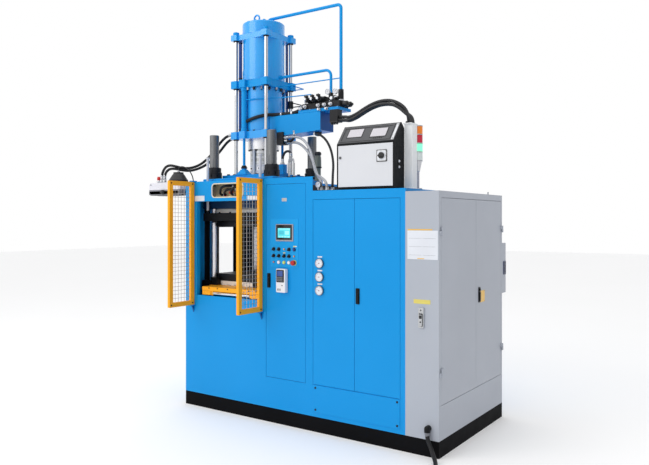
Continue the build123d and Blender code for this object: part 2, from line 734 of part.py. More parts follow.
def upper_platen():
    """Platen with the nozzle bore, rod bores and two bored guide brackets in front"""
    z1 = UPPER_PLATEN_Z0 + UPPER_PLATEN_T
    body = platen(UPPER_PLATEN_Z0, UPPER_PLATEN_T)
    body = body - post(AXIS_X, AXIS_Y, UPPER_PLATEN_Z0 - 1, z1 + 1, NOZZLE_R + 8)
    for x, y in corners(AXIS_X, AXIS_Y, ROD_D, ROD_D):
        body = body - post(x, y, UPPER_PLATEN_Z0 - 1, z1 + 1, ROD_R + FIT)
    front = AXIS_Y - PLATEN_HY
    for x, y in lift_rod_places():
        low = LIFT_BRACKET_Z0
        high = low + LIFT_BRACKET_H
        arm = block(x - LIFT_BRACKET_HX, x + LIFT_BRACKET_HX, y, front + 1, low, high)
        bracket = arm + post(x, y, low, high, LIFT_BRACKET_HX)
        body = body + bracket
    for x, y in lift_rod_places():
        body = body - post(x, y, LIFT_BRACKET_Z0 - 1, LIFT_BRACKET_Z0 + LIFT_BRACKET_H + 1, LIFT_ROD_R + FIT)
    return body


def plate(z0, thickness, inset=0.0):
    """Plate on the press axis, inside the columns"""
    hx = PLATE_HX - inset
    hy = PLATE_HY - inset
    return block(AXIS_X - hx, AXIS_X + hx, AXIS_Y - hy, AXIS_Y + hy, z0, z0 + thickness)


def heater_bores(body, z):
    """Blind holes for heater cartridges in the front and rear edges"""
    for index in range(HEATER_HOLES):
        x = AXIS_X + (index - (HEATER_HOLES - 1) / 2) * HEATER_PITCH
        front = AXIS_Y - PLATE_HY
        rear = AXIS_Y + PLATE_HY
        body = body - pin_y(x, front - 1, front + HEATER_DEPTH, z, HEATER_HOLE_R)
        body = body - pin_y(x, rear - HEATER_DEPTH, rear + 1, z, HEATER_HOLE_R)
    return body


def lower_heating_plate():
    z0 = LOWER_PLATEN_Z0 + LOWER_PLATEN_T
    z1 = z0 + INSULATION_LOWER_T
    heating = heater_bores(plate(z1, HEATING_T), z1 + HEATING_T / 2)
    return group(plate(z0, INSULATION_LOWER_T, INSULATION_INSET), heating)


def adapter_plate(z0, thickness, face_up):
    """Mould mounting plate with four tapped holes"""
    body = plate(z0, thickness)
    z1 = z0 + thickness
    face = z1 if face_up else z0
    deep = -1 if face_up else 1
    for x, y in corners(AXIS_X, AXIS_Y, MOULD_HOLE_DX, MOULD_HOLE_DY):
        ends = sorted((face - deep, face + deep * MOULD_HOLE_DEPTH))
        body = body - post(x, y, ends[0], ends[1], MOULD_HOLE_R)
    return body


def table_top_z():
    return LOWER_PLATEN_Z0 + LOWER_PLATEN_T + INSULATION_LOWER_T + HEATING_T + REST_GAP


def lower_adapter_plate():
    return adapter_plate(table_top_z(), ADAPTER_T, True)


def upper_heating_plate():
    z1 = UPPER_PLATEN_Z0
    z0 = z1 - INSULATION_UPPER_T
    heating = heater_bores(plate(z0 - UPPER_HEATING_T, UPPER_HEATING_T), z0 - UPPER_HEATING_T / 2)
    heating = heating - post(AXIS_X, AXIS_Y, z0 - UPPER_HEATING_T - 1, z0 + 1, SPRUE_R)
    board = plate(z0, INSULATION_UPPER_T, INSULATION_INSET)
    board = board - post(AXIS_X, AXIS_Y, z0 - 1, z1 + 1, NOZZLE_R + 8)
    return group(board, heating)


def upper_adapter_plate():
    z1 = UPPER_PLATEN_Z0 - INSULATION_UPPER_T - UPPER_HEATING_T
    body = adapter_plate(z1 - UPPER_ADAPTER_T, UPPER_ADAPTER_T, False)
    return body - post(AXIS_X, AXIS_Y, z1 - UPPER_ADAPTER_T - 1, z1 + 1, SPRUE_R)


def slide_table():
    """Welded table: slotted apron, deck and two rails, with a roller on a fixed pin"""
    back = AXIS_Y - PLATE_HY - TABLE_BACK_GAP
    apron = block(TABLE_X0, TABLE_X1, TABLE_FRONT_Y, TABLE_FRONT_Y + TABLE_APRON_T,
                  TABLE_Z1 - TABLE_DECK_T - 4, TABLE_Z1)
    slot_w = (TABLE_X1 - TABLE_X0) / (TABLE_SLOTS + 1)
    for index in range(TABLE_SLOTS):
        x = TABLE_X0 + slot_w * (index + 1)
        slot = rounded_block(x - slot_w * 0.3, x + slot_w * 0.3, TABLE_FRONT_Y - 1,
                             TABLE_FRONT_Y + TABLE_APRON_T + 1, TABLE_Z1 - 28, TABLE_Z1 - 12, 7, Axis.Y)
        apron = apron - slot
    deck_z = TABLE_Z1 - TABLE_DECK_T
    platen_front = AXIS_Y - PLATEN_HY
    deck = block(TABLE_X0, TABLE_X1, TABLE_FRONT_Y, platen_front - TABLE_BACK_GAP, deck_z, TABLE_Z1)
    rail_x = PLATE_HX + REST_GAP * 10
    cross = block(AXIS_X - rail_x - TABLE_RAIL_W, AXIS_X + rail_x + TABLE_RAIL_W,
                  platen_front - 40, back, deck_z, TABLE_Z1)
    body = union(apron, deck, cross)
    rail_z = LOWER_PLATEN_Z0 + LOWER_PLATEN_T + REST_GAP
    for side in (-1, 1):
        x0, x1 = sorted((AXIS_X + side * rail_x, AXIS_X + side * (rail_x + TABLE_RAIL_W)))
        rail = block(x0, x1, platen_front - 40, AXIS_Y + PLATE_HY, rail_z, table_top_z())
        body = body + rail
    lug = block(AXIS_X - rail_x - TABLE_RAIL_W, AXIS_X + rail_x + TABLE_RAIL_W, platen_front - 30,
                back, TABLE_Z1 - 1, table_top_z() + ADAPTER_T / 2)
    lug = lug - block(AXIS_X - PLATE_HX + 60, AXIS_X + PLATE_HX - 60, platen_front - 31, back + 1,
                      TABLE_Z1, table_top_z() + ADAPTER_T)
    body = body + lug + block(AXIS_X - PLATE_HX, AXIS_X - PLATE_HX + 60, back - 1, AXIS_Y - PLATE_HY,
                              table_top_z() + 5, table_top_z() + ADAPTER_T / 2)
    body = body + block(AXIS_X + PLATE_HX - 60, AXIS_X + PLATE_HX, back - 1, AXIS_Y - PLATE_HY,
                        table_top_z() + 5, table_top_z() + ADAPTER_T / 2)
    roller_y = TABLE_FRONT_Y + ROLLER_R + 2
    for x in (ROLLER_X0, ROLLER_X1):
        ear = block(x - ROLLER_EAR_T / 2, x + ROLLER_EAR_T / 2, TABLE_FRONT_Y + 1,
                    roller_y + ROLLER_R, TABLE_Z0, deck_z + 1)
        body = body + ear
    body = body - pin_x(ROLLER_X0 - 20, ROLLER_X1 + 20, roller_y, ROLLER_Z, ROLLER_PIN_R + FIT)
    inner = ROLLER_EAR_T / 2 + 1
    roller = pin_x(ROLLER_X0 + inner, ROLLER_X1 - inner, roller_y, ROLLER_Z, ROLLER_R)
    roller = roller + pin_x(ROLLER_X0 - ROLLER_EAR_T, ROLLER_X1 + ROLLER_EAR_T,
                            roller_y, ROLLER_Z, ROLLER_PIN_R)
    return group(body, roller)


def lift_frame():
    """Front beam with two hooks, hung on two rods with stops"""
    y0 = LIFT_BEAM_Y0
    y1 = y0 + LIFT_BEAM_T
    z1 = LIFT_BEAM_Z0 + LIFT_BEAM_H
    beam = block(AXIS_X - LIFT_BEAM_HX, AXIS_X + LIFT_BEAM_HX, y0, y1, LIFT_BEAM_Z0, z1)
    beam = chamfer(beam.edges().filter_by(Axis.X), 4)
    for side in (-1, 1):
        x = AXIS_X + side * LIFT_BEAM_HX * 0.6
        hook = block(x - LIFT_HOOK_W / 2, x + LIFT_HOOK_W / 2, y0, y1 + LIFT_HOOK_D,
                     LIFT_BEAM_Z0 - LIFT_HOOK_T, LIFT_BEAM_Z0 + 1)
        beam = beam + hook
    for x, y in lift_rod_places():
        beam = beam + post(x, y, z1 - 5, LIFT_ROD_TOP, LIFT_ROD_R)
        beam = beam + post(x, y, LIFT_ROD_TOP - LIFT_STOP_H, LIFT_ROD_TOP, LIFT_STOP_R)
    return beam


# Press casing and guards
def guard_hinges():
    y = FRONT_Y - GUARD_HINGE_OFF
    return [(GUARD_HINGE_LEFT_X, y), (GUARD_HINGE_RIGHT_X, y)]


def press_enclosure():
    body = casing(LEFT_X, PRESS_X1, FRONT_Y, REAR_Y, PLINTH_H, PRESS_TOP)
    # front opening with folded lips
    lips = block(FRONT_OPEN_X0 - SHEET, PRESS_X1 - SHEET, FRONT_Y + 0.5, FRONT_Y + OPEN_LIP_D,
                 FRONT_OPEN_Z0 - SHEET, FRONT_OPEN_Z1 + SHEET)
    hole = block(FRONT_OPEN_X0, FRONT_OPEN_X1, FRONT_Y - 1, FRONT_Y + OPEN_LIP_D + 1,
                 FRONT_OPEN_Z0, FRONT_OPEN_Z1)
    body = body + lips - hole
    # header window with a raised trim
    window = rounded_block(HEADER_WIN_X0, HEADER_WIN_X1, FRONT_Y - 10, FRONT_Y + 10,
                           HEADER_WIN_Z0, HEADER_WIN_Z1, HEADER_WIN_R, Axis.Y)
    trim = rounded_block(HEADER_WIN_X0 - HEADER_TRIM_W, HEADER_WIN_X1 + HEADER_TRIM_W,
                         FRONT_Y - HEADER_TRIM_T, FRONT_Y + 1, HEADER_WIN_Z0 - HEADER_TRIM_W,
                         HEADER_WIN_Z1 + HEADER_TRIM_W, HEADER_WIN_R + HEADER_TRIM_W, Axis.Y)
    body = body + trim - window
    # window in the left wall
    body = body - block(LEFT_X - 1, LEFT_X + SHEET + 1, SIDE_WIN_Y0, SIDE_WIN_Y1, SIDE_WIN_Z0, SIDE_WIN_Z1)
    # roof opening round the upper platen, and holes for the lift rods
    body = body - block(AXIS_X - PLATEN_HX - TOP_CLEAR, AXIS_X + PLATEN_HX + TOP_CLEAR,
                        AXIS_Y - PLATEN_HY - TOP_CLEAR, AXIS_Y + PLATEN_HY + TOP_CLEAR,
                        PRESS_TOP - SHEET - 1, PRESS_TOP + 1)
    for x, y in lift_rod_places():
        body = body - post(x, y, PRESS_TOP - SHEET - 1, PRESS_TOP + 1, TOP_ROD_HOLE_R)
    # the casing hangs on two ledges of the upper platen
    for side in (-1, 1):
        x0, x1 = sorted((AXIS_X + side * (PLATEN_HX + REST_GAP), AXIS_X + side * (PLATEN_HX + 10)))
        ledge = block(x0, x1, AXIS_Y - 60, AXIS_Y + 60, PRESS_TOP - 60, PRESS_TOP - SHEET + 0.5)
        body = body + ledge
    for x, y in guard_hinges():
        body = body + guard_bracket(x, y, GUARD_Z1 + REST_GAP, GUARD_Z1 + REST_GAP + GUARD_BRACKET_T, False)
        body = body + guard_bracket(x, y, GUARD_Z0 - REST_GAP - GUARD_BRACKET_T, GUARD_Z0 - REST_GAP, True)
    return body


def guard_bracket(x, y, z0, z1, gusset):
    """Hinge plate with a bore, on the front panel, with a gusset under the lower one"""
    tip = post(x, y, z0, z1, GUARD_BRACKET_HX)
    arm = block(x - GUARD_BRACKET_HX, x + GUARD_BRACKET_HX, y, FRONT_Y, z0, z1)
    bracket = tip + arm
    if gusset:
        outline = Polyline((FRONT_Y, z0 + 1), (y, z0 + 1), (FRONT_Y, z0 - GUSSET_H), close=True)
        side = make_face(Plane.YZ * outline)
        web = Pos(x - GUSSET_T / 2, 0, 0) * extrude(side, GUSSET_T, dir=(1, 0, 0))
        bracket = bracket + web
    else:
        bracket = bracket + block(x - GUARD_BRACKET_HX, x + GUARD_BRACKET_HX, FRONT_Y - 1, FRONT_Y + 20,
                                  PRESS_TOP, z1)
    return bracket - post(x, y, z0 - 1, z1 + 1, GUARD_PIN_R + FIT)


def guard(hinge_x, hinge_y):
    """Tube frame with wire mesh, standing out towards -Y, and two hinge pins"""
    half = GUARD_TUBE_T / 2
    rear = hinge_y + GUARD_TUBE_W / 2
    front = rear - GUARD_W
    outer = rounded_block(hinge_x - half, hinge_x + half, front, rear, GUARD_Z0, GUARD_Z1, 4, Axis.X)
    inner = block(hinge_x - half - 1, hinge_x + half + 1, front + GUARD_TUBE_W, rear - GUARD_TUBE_W,
                  GUARD_Z0 + GUARD_TUBE_W, GUARD_Z1 - GUARD_TUBE_W)
    frame = outer - inner
    y0 = front + GUARD_TUBE_W
    y1 = rear - GUARD_TUBE_W
    z0 = GUARD_Z0 + GUARD_TUBE_W
    z1 = GUARD_Z1 - GUARD_TUBE_W
    wire = MESH_WIRE / 2
    mesh = None
    for index in range(1, MESH_COLUMNS):
        y = y0 + (y1 - y0) * index / MESH_COLUMNS
        bar = block(hinge_x - wire, hinge_x + wire, y - wire, y + wire, z0 - 2, z1 + 2)
        mesh = bar if mesh is None else mesh + bar
    for index in range(1, MESH_ROWS):
        z = z0 + (z1 - z0) * index / MESH_ROWS
        mesh = mesh + block(hinge_x - wire, hinge_x + wire, y0 - 2, y1 + 2, z - wire, z + wire)
    body = frame + mesh
    body = body + post(hinge_x, hinge_y, GUARD_Z1 - 5, GUARD_Z1 + GUARD_PIN_LEN, GUARD_PIN_R)
    return body + post(hinge_x, hinge_y, GUARD_Z0 - GUARD_PIN_LEN, GUARD_Z0 + 5, GUARD_PIN_R)


# Control column, its door and what the door carries
def control_column():
    top = HYDRAULIC_TOP
    body = casing(PRESS_X1, COLUMN_X1, FRONT_Y, REAR_Y, PLINTH_H, top)
    body = body + block(PRESS_X1, COLUMN_X1, FRONT_Y, FRONT_Y + SHEET, top - 5, PRESS_TOP)
    body = body + block(PRESS_X1, COLUMN_X1, FRONT_Y, FRONT_Y + LIP_D, PRESS_TOP - SHEET, PRESS_TOP)
    body = cut_opening(body, on_front, CONTROL_DOOR_X0, CONTROL_DOOR_X1, CONTROL_DOOR_Z0, CONTROL_DOOR_Z1)
    return pivot_holes(body, on_front, CONTROL_DOOR_X1 - PIVOT_IN, CONTROL_DOOR_Z0, CONTROL_DOOR_Z1)


def control_places(cells):
    return [(CONTROL_X[column], CONTROL_Z[row]) for row, column in cells]


def control_door():
    door = flush_door(CONTROL_DOOR_X0, CONTROL_DOOR_X1, CONTROL_DOOR_Z0, CONTROL_DOOR_Z1, True)
    operator = rounded_block(OPERATOR_X0, OPERATOR_X1, -OPERATOR_T, 0.5, OPERATOR_Z0, OPERATOR_Z1, 6, Axis.Y)
    door = door + operator
    door = door - block(HMI_X - HMI_BODY_W / 2 - 1, HMI_X + HMI_BODY_W / 2 + 1, -5, 5,
                        HMI_Z - HMI_BODY_H / 2 - 1, HMI_Z + HMI_BODY_H / 2 + 1)
    for x, z in control_places(SELECTORS + BUTTONS + [ESTOP_CELL]):
        door = door - pin_y(x, -5, 5, z, SWITCH_HOLE_R)
    door = door + pull_latch(CONTROL_DOOR_X0 + HANDLE_IN, CONTROL_HANDLE_Z)
    return on_front(door)


def hmi():
    """Screen unit: bezel in front of the door, body through it"""
    face = -OPERATOR_T
    bezel = rounded_block(HMI_X - HMI_W / 2, HMI_X + HMI_W / 2, face - HMI_BEZEL_T, face,
                          HMI_Z - HMI_H / 2, HMI_Z + HMI_H / 2, 6, Axis.Y)
    bezel = chamfer(bezel.faces().sort_by(Axis.Y)[0].edges(), 2)
    screen = block(HMI_X - HMI_SCREEN_W / 2, HMI_X + HMI_SCREEN_W / 2, face - HMI_BEZEL_T - 1,
                   face - HMI_BEZEL_T + SCREEN_DEPTH * 0.4,
                   HMI_Z - HMI_SCREEN_H / 2 - 3, HMI_Z + HMI_SCREEN_H / 2 - 3)
    body = block(HMI_X - HMI_BODY_W / 2, HMI_X + HMI_BODY_W / 2, face - 1, HMI_BODY_D,
                 HMI_Z - HMI_BODY_H / 2, HMI_Z + HMI_BODY_H / 2)
    return on_front(bezel + body - screen)


def switch_base(x, z, bore=None):
    """Ring in front of the door, neck through it and a contact block behind"""
    ring = pin_y(x, -OPERATOR_T - SWITCH_RING_H, -OPERATOR_T, z, SWITCH_RING_R)
    neck = pin_y(x, -OPERATOR_T - 1, DOOR_SHEET + 1, z, SWITCH_HOLE_R - 0.5)
    contact = block(x - CONTACT_W / 2, x + CONTACT_W / 2, DOOR_SHEET, CONTACT_D,
                    z - CONTACT_W / 2, z + CONTACT_W / 2)
    base = union(ring, neck, contact)
    if bore:
        base = base - pin_y(x, -OPERATOR_T - SWITCH_RING_H - 1, CONTACT_D - 8, z, bore)
    return base


def control_switches():
    pieces = []
    front = -OPERATOR_T - SWITCH_RING_H
    for x, z in control_places(SELECTORS):
        cap = pin_y(x, front - 4, front + 1, z, SWITCH_CAP_R)
        grip = Pos(x, front - KNOB_H / 2, z) * Rot(0, 35, 0) * Box(KNOB_W, KNOB_H, 2 * SWITCH_CAP_R)
        pieces.append(union(switch_base(x, z), cap, grip))
    for x, z in control_places(BUTTONS):
        cap = pin_y(x, front - BUTTON_H + SWITCH_RING_H, front + 1, z, SWITCH_CAP_R)
        pieces.append(switch_base(x, z) + cap)
    for x, z in control_places(LAMPS):
        lens = pin_y(x, -OPERATOR_T - LAMP_H, -OPERATOR_T, z, LAMP_R)
        pieces.append(fillet(lens.faces().sort_by(Axis.Y)[0].edges(), 3))
    x, z = control_places([ESTOP_CELL])[0]
    pieces.append(switch_base(x, z, ESTOP_STEM_R + FIT))
    return on_front(group(*pieces))


def emergency_stop():
    """Mushroom head on a stem that slides in its base"""
    x, z = control_places([ESTOP_CELL])[0]
    seat = -OPERATOR_T - SWITCH_RING_H
    back = seat - ESTOP_STANDOFF + ESTOP_HEAD_H * 0.4
    head = pin_y(x, back - ESTOP_HEAD_H, back, z, ESTOP_R)
    head = fillet(head.faces().sort_by(Axis.Y)[0].edges(), ESTOP_HEAD_H * 0.45)
    stem = pin_y(x, back - 2, CONTACT_D - 8 - ESTOP_TRAVEL - 1, z, ESTOP_STEM_R)
    return on_front(head + stem)


def handset():
    """Hand-held keypad in a low holder on the door"""
    x0 = HANDSET_X - HANDSET_W / 2
    x1 = HANDSET_X + HANDSET_W / 2
    body = rounded_block(x0, x1, -HANDSET_HOLDER_T - HANDSET_T, -HANDSET_HOLDER_T,
                         HANDSET_Z0, HANDSET_Z1, 9, Axis.Y)
    body = fillet(body.faces().sort_by(Axis.Y)[0].edges(), 5)
    split = (HANDSET_Z0 + HANDSET_Z1) / 2
    body = body - block(x0 + 10, x1 - 10, -HANDSET_HOLDER_T - HANDSET_T - 1,
                        -HANDSET_HOLDER_T - HANDSET_T + 2, split + 8, HANDSET_Z1 - 10)
    holder = rounded_block(x0 + 12, x1 - 12, -HANDSET_HOLDER_T, 0, split - HANDSET_HOLDER_H / 2,
                           split + HANDSET_HOLDER_H / 2, 5, Axis.Y)
    return on_front(group(body, holder))


# Hydraulic cabinet
def hydraulic_cabinet():
    body = casing(COLUMN_X1, HYDRAULIC_X1, FRONT_Y, REAR_Y, PLINTH_H, HYDRAULIC_TOP)
    x0 = COLUMN_X1 + CABINET_DOOR_INSET
    body = cut_opening(body, on_front, x0, CABINET_DOOR_X1, CABINET_DOOR_Z0, CABINET_DOOR_Z1)
    body = pivot_holes(body, on_front, x0 + PIVOT_IN, CABINET_DOOR_Z0, CABINET_DOOR_Z1)
    body = pivot_holes(body, on_front, CABINET_DOOR_X1 - PIVOT_IN, CABINET_DOOR_Z0, CABINET_DOOR_Z1)
    kick = block(x0, CABINET_DOOR_X1, -KICK_T, 0.5, KICK_Z0, CABINET_DOOR_Z0 - 6)
    kick = chamfer(kick.faces().sort_by(Axis.Y)[0].edges(), 1)
    body = body + on_front(kick)
    under = HYDRAULIC_TOP - SHEET
    body = body + block(HOSE_PORT_X0 - 10, HOSE_PORT_X1 + 10, HOSE_PORT_Y0 - 10, HOSE_PORT_Y1 + 10,
                        under - SHEET, under)
    body = body - block(HOSE_PORT_X0, HOSE_PORT_X1, HOSE_PORT_Y0, HOSE_PORT_Y1, under, HYDRAULIC_TOP + 1)
    middle = (COLUMN_X1 + HYDRAULIC_X1) / 2
    for index in range(LOUVRE_COUNT):
        z = LOUVRE_Z0 + index * LOUVRE_PITCH
        body = body - block(middle - LOUVRE_W / 2, middle + LOUVRE_W / 2, REAR_Y - 10, REAR_Y + 1,
                            z, z + LOUVRE_H)
    return body


def cabinet_door_left():
    x0 = COLUMN_X1 + CABINET_DOOR_INSET
    door = flush_door(x0, CABINET_DOOR_SPLIT - DOOR_GAP / 2, CABINET_DOOR_Z0, CABINET_DOOR_Z1, False)
    for z in GAUGE_Z:
        door = door - pin_y(GAUGE_X, -2, 5, z, GAUGE_STEM_R + FIT)
    return on_front(door)


def cabinet_door_right():
    door = flush_door(CABINET_DOOR_SPLIT + DOOR_GAP / 2, CABINET_DOOR_X1,
                      CABINET_DOOR_Z0, CABINET_DOOR_Z1, True)
    door = door + pull_latch(CABINET_DOOR_SPLIT + HANDLE_IN, CABINET_HANDLE_Z)
    return on_front(door)


def pressure_gauges():
    """Panel gauges: rimmed case, recessed dial and threaded stem"""
    gauges = []
    for z in GAUGE_Z:
        case = pin_y(GAUGE_X, -GAUGE_H, 0, z, GAUGE_R)
        case = chamfer(case.faces().sort_by(Axis.Y)[0].edges(), 2)
        dial = pin_y(GAUGE_X, -GAUGE_H - 1, -GAUGE_H + 3, z, GAUGE_R - GAUGE_RIM)
        stem = pin_y(GAUGE_X, -1, GAUGE_STEM_LEN, z, GAUGE_STEM_R)
        gauges.append(case - dial + stem)
    return on_front(group(*gauges))


def oil_tank():
    """Welded tank on four legs with an overhanging lid and a filler neck"""
    z0 = PLINTH_H + TANK_LEG_H
    z1 = z0 + TANK_H
    tank = block(TANK_X0, TANK_X1, TANK_Y0, TANK_Y1, z0, z1)
    lid = block(TANK_X0 - TANK_LID_OVER, TANK_X1 + TANK_LID_OVER, TANK_Y0 - TANK_LID_OVER,
                TANK_Y1 + TANK_LID_OVER, z1 - 0.5, z1 + TANK_LID_T)
    tank = tank + lid
    for x, y in corners((TANK_X0 + TANK_X1) / 2, (TANK_Y0 + TANK_Y1) / 2,
                        (TANK_X1 - TANK_X0) / 2 - 35, (TANK_Y1 - TANK_Y0) / 2 - 35):
        tank = tank + block(x - 30, x + 30, y - 30, y + 30, PLINTH_H, z0 + 1)
    neck = turned(TANK_X1 - 90, TANK_Y0 + 90,
                  [(0, z1), (38, z1), (38, z1 + 50), (46, z1 + 50), (46, z1 + 72), (0, z1 + 72)])
    return tank + neck


def pump_motor():
    """Finned motor on feet, bell housing and pump, on the tank lid"""
    base = PLINTH_H + TANK_LEG_H + TANK_H + TANK_LID_T
    z = base + MOTOR_FOOT_H
    y1 = MOTOR_Y0 + MOTOR_LEN
    motor = pin_y(MOTOR_X, MOTOR_Y0, y1, z, MOTOR_R)
    for index in range(MOTOR_FINS):
        fin = Box(MOTOR_FIN_R, MOTOR_LEN * 0.8, MOTOR_FIN_W)
        angle = 360 / MOTOR_FINS * index
        fin = Pos(MOTOR_X, (MOTOR_Y0 + y1) / 2, z) * Rot(0, angle, 0) * Pos(MOTOR_FIN_R / 2, 0, 0) * fin
        motor = motor + fin
    for side in (-1, 1):
        x = MOTOR_X + side * MOTOR_R * 0.75
        motor = motor + block(x - 25, x + 25, MOTOR_Y0 + 40, y1 - 40, base, z - MOTOR_R * 0.5)
    terminal = rounded_block(MOTOR_X - 60, MOTOR_X + 60, MOTOR_Y0 + 90, MOTOR_Y0 + 220, z + MOTOR_R * 0.9,
                             z + MOTOR_R + 70, 8)
    bell = pin_y(MOTOR_X, MOTOR_Y0 - BELL_LEN, MOTOR_Y0, z, BELL_R)
    pump = pin_y(MOTOR_X, MOTOR_Y0 - BELL_LEN - PUMP_LEN, MOTOR_Y0 - BELL_LEN, z, PUMP_R)
    pump = chamfer(pump.faces().sort_by(Axis.Y)[0].edges(), 10)
    return group(motor + terminal, bell, pump)


# Electrical cabinet, its doors, the panel inside and the cooler behind
def side_hinge_heights():
    return [SIDE_DOOR_Z0 + SIDE_HINGE_DZ, SIDE_DOOR_Z1 - SIDE_HINGE_DZ]


def side_hinge(hinge_y, frame_side, upper):
    """One half of a surface hinge: leaf on the panel and half of the barrel"""
    half = HINGE_H / 2
    pieces = None
    for z in side_hinge_heights():
        low = z if upper else z - half
        high = z + half if upper else z - REST_GAP
        reach = frame_side * HINGE_LEAF
        y0, y1 = sorted((hinge_y, hinge_y + reach))
        seat = RIGHT_X + REST_GAP if upper else RIGHT_X - 0.5
        leaf = block(seat, RIGHT_X + HINGE_STANDOFF, y0, y1, low, high)
        if upper:
            pad = sorted((hinge_y + frame_side * (HINGE_R + 1), hinge_y + reach))
            leaf = leaf + block(RIGHT_X - 0.5, RIGHT_X + 1, pad[0], pad[1], low, high)
        barrel = post(RIGHT_X + HINGE_STANDOFF, hinge_y, low, high, HINGE_R)
        leaf = leaf + barrel
        if upper:
            leaf = leaf - post(RIGHT_X + HINGE_STANDOFF, hinge_y, low - 1, high + 1, HINGE_PIN_R + FIT)
        else:
            leaf = leaf + post(RIGHT_X + HINGE_STANDOFF, hinge_y, low, z + half - 2, HINGE_PIN_R)
        pieces = leaf if pieces is None else pieces + leaf
    return pieces


def electrical_cabinet():
    body = casing(HYDRAULIC_X1, RIGHT_X, FRONT_Y, REAR_Y, PLINTH_H, ELECTRICAL_TOP)
    body = cut_opening(body, on_side, SIDE_DOOR_Y0, SIDE_DOOR_Y1, SIDE_DOOR_Z0, SIDE_DOOR_Z1)
    body = body + side_hinge(SIDE_DOOR_Y0 - HINGE_R, -1, False)
    body = body + block(HYDRAULIC_X1 + SHEET, PANEL_X, PANEL_Y0 + 60, PANEL_Y0 + 100, PANEL_Z0, PANEL_Z1)
    body = body + block(HYDRAULIC_X1 + SHEET, PANEL_X, PANEL_Y1 - 100, PANEL_Y1 - 60, PANEL_Z0, PANEL_Z1)
    rear = side_hinge(SIDE_DOOR_Y1 + HINGE_R, 1, False)
    body = body + rear
    lock = rounded_block(SWING_LOCK_X0, SWING_LOCK_X1, FRONT_Y - SWING_LOCK_T, FRONT_Y + 0.5,
                         SWING_LOCK_Z0, SWING_LOCK_Z1, 8, Axis.Y)
    body = body + lock
    gland_y = FRONT_Y - GLAND_OUT
    elbow = pin_y(CABLE_X, gland_y, FRONT_Y + SHEET, CABLE_Z, GLAND_R)
    elbow = elbow + post(CABLE_X, gland_y, CABLE_Z - GLAND_DROP, CABLE_Z, GLAND_R)
    elbow = elbow + Pos(CABLE_X, gland_y, CABLE_Z) * Sphere(GLAND_R)
    return body + elbow


def side_door(y0, y1, hinge_at_y1):
    leaf = pan(y0, y1, SIDE_DOOR_Z0, SIDE_DOOR_Z1)
    return on_side(leaf)


def side_door_front():
    door = side_door(SIDE_DOOR_Y0, SIDE_DOOR_SPLIT - DOOR_GAP / 2, False)
    return door + side_hinge(SIDE_DOOR_Y0 - HINGE_R, 1, True)


def side_door_rear():
    door = side_door(SIDE_DOOR_SPLIT + DOOR_GAP / 2, SIDE_DOOR_Y1, True)
    door = door + side_hinge(SIDE_DOOR_Y1 + HINGE_R, -1, True)
    return door + on_side(pull_latch(SIDE_DOOR_SPLIT + HANDLE_IN * 2, SIDE_HANDLE_Z))


def electrical_panel():
    """Mounting plate with rails and rows of plug-in devices"""
    panel = block(PANEL_X, PANEL_X + PANEL_T, PANEL_Y0, PANEL_Y1, PANEL_Z0, PANEL_Z1)
    first = (PANEL_Y0 + PANEL_Y1) / 2 - DEVICE_PITCH * (DEVICE_COUNT - 1) / 2
    for row in range(RAIL_ROWS):
        z = RAIL_Z0 + row * RAIL_PITCH
        x0 = PANEL_X + PANEL_T
        panel = panel + block(x0 - 0.5, x0 + RAIL_T, PANEL_Y0 + 30, PANEL_Y1 - 30,
                              z - RAIL_H / 2, z + RAIL_H / 2)
        for index in range(DEVICE_COUNT - row % 2 * 3):
            y = first + index * DEVICE_PITCH
            device = block(x0 + RAIL_T - 0.5, x0 + RAIL_T + DEVICE_T, y - DEVICE_W / 2, y + DEVICE_W / 2,
                           z - DEVICE_H / 2, z + DEVICE_H / 2)
            panel = panel + device
    return panel


def cooling_unit():
    """Cooler on the rear wall with air slots in its sides and back"""
    y0 = REAR_Y
    y1 = REAR_Y + COOLER_D
    body = rounded_block(COOLER_X0, COOLER_X1, y0, y1, COOLER_Z0, COOLER_Z1, 8)
    low = (COOLER_Z0 + COOLER_Z1) / 2 - COOLER_SLOT_PITCH * (COOLER_SLOTS - 1) / 2
    for index in range(COOLER_SLOTS):
        z = low + index * COOLER_SLOT_PITCH
        z0 = z - COOLER_SLOT_H / 2
        z1 = z + COOLER_SLOT_H / 2
        body = body - block(COOLER_X0 + 30, COOLER_X1 - 30, y1 - COOLER_SLOT_D, y1 + 1, z0, z1)
    return body


# Roof equipment
def console_outline(inset):
    """Side outline of the console, drawn in the YZ plane"""
    slope = math.atan2(CONSOLE_APEX_Z - CONSOLE_FRONT_Z1, CONSOLE_APEX_Y - CONSOLE_FRONT_Y)
    nose = inset * math.tan(slope / 2)
    return make_face(Plane.YZ * Polyline(
        (CONSOLE_FRONT_Y + inset, CONSOLE_Z0 + inset),
        (CONSOLE_FRONT_Y + inset, CONSOLE_FRONT_Z1 - inset + nose),
        (CONSOLE_APEX_Y + inset * 0.3, CONSOLE_APEX_Z - inset * 1.6),
        (CONSOLE_REAR_Y - inset, CONSOLE_REAR_Z1 - inset * 0.6),
        (CONSOLE_REAR_Y - inset, CONSOLE_Z0 + inset),
        close=True))


def console_door_range():
    return (CONSOLE_X0 + CONSOLE_DOOR_IN, CONSOLE_X1 - CONSOLE_DOOR_IN,
            CONSOLE_Z0 + CONSOLE_DOOR_IN, CONSOLE_FRONT_Z1 - CONSOLE_DOOR_IN)


def at_console(shape):
    return Pos(0, CONSOLE_FRONT_Y, 0) * shape


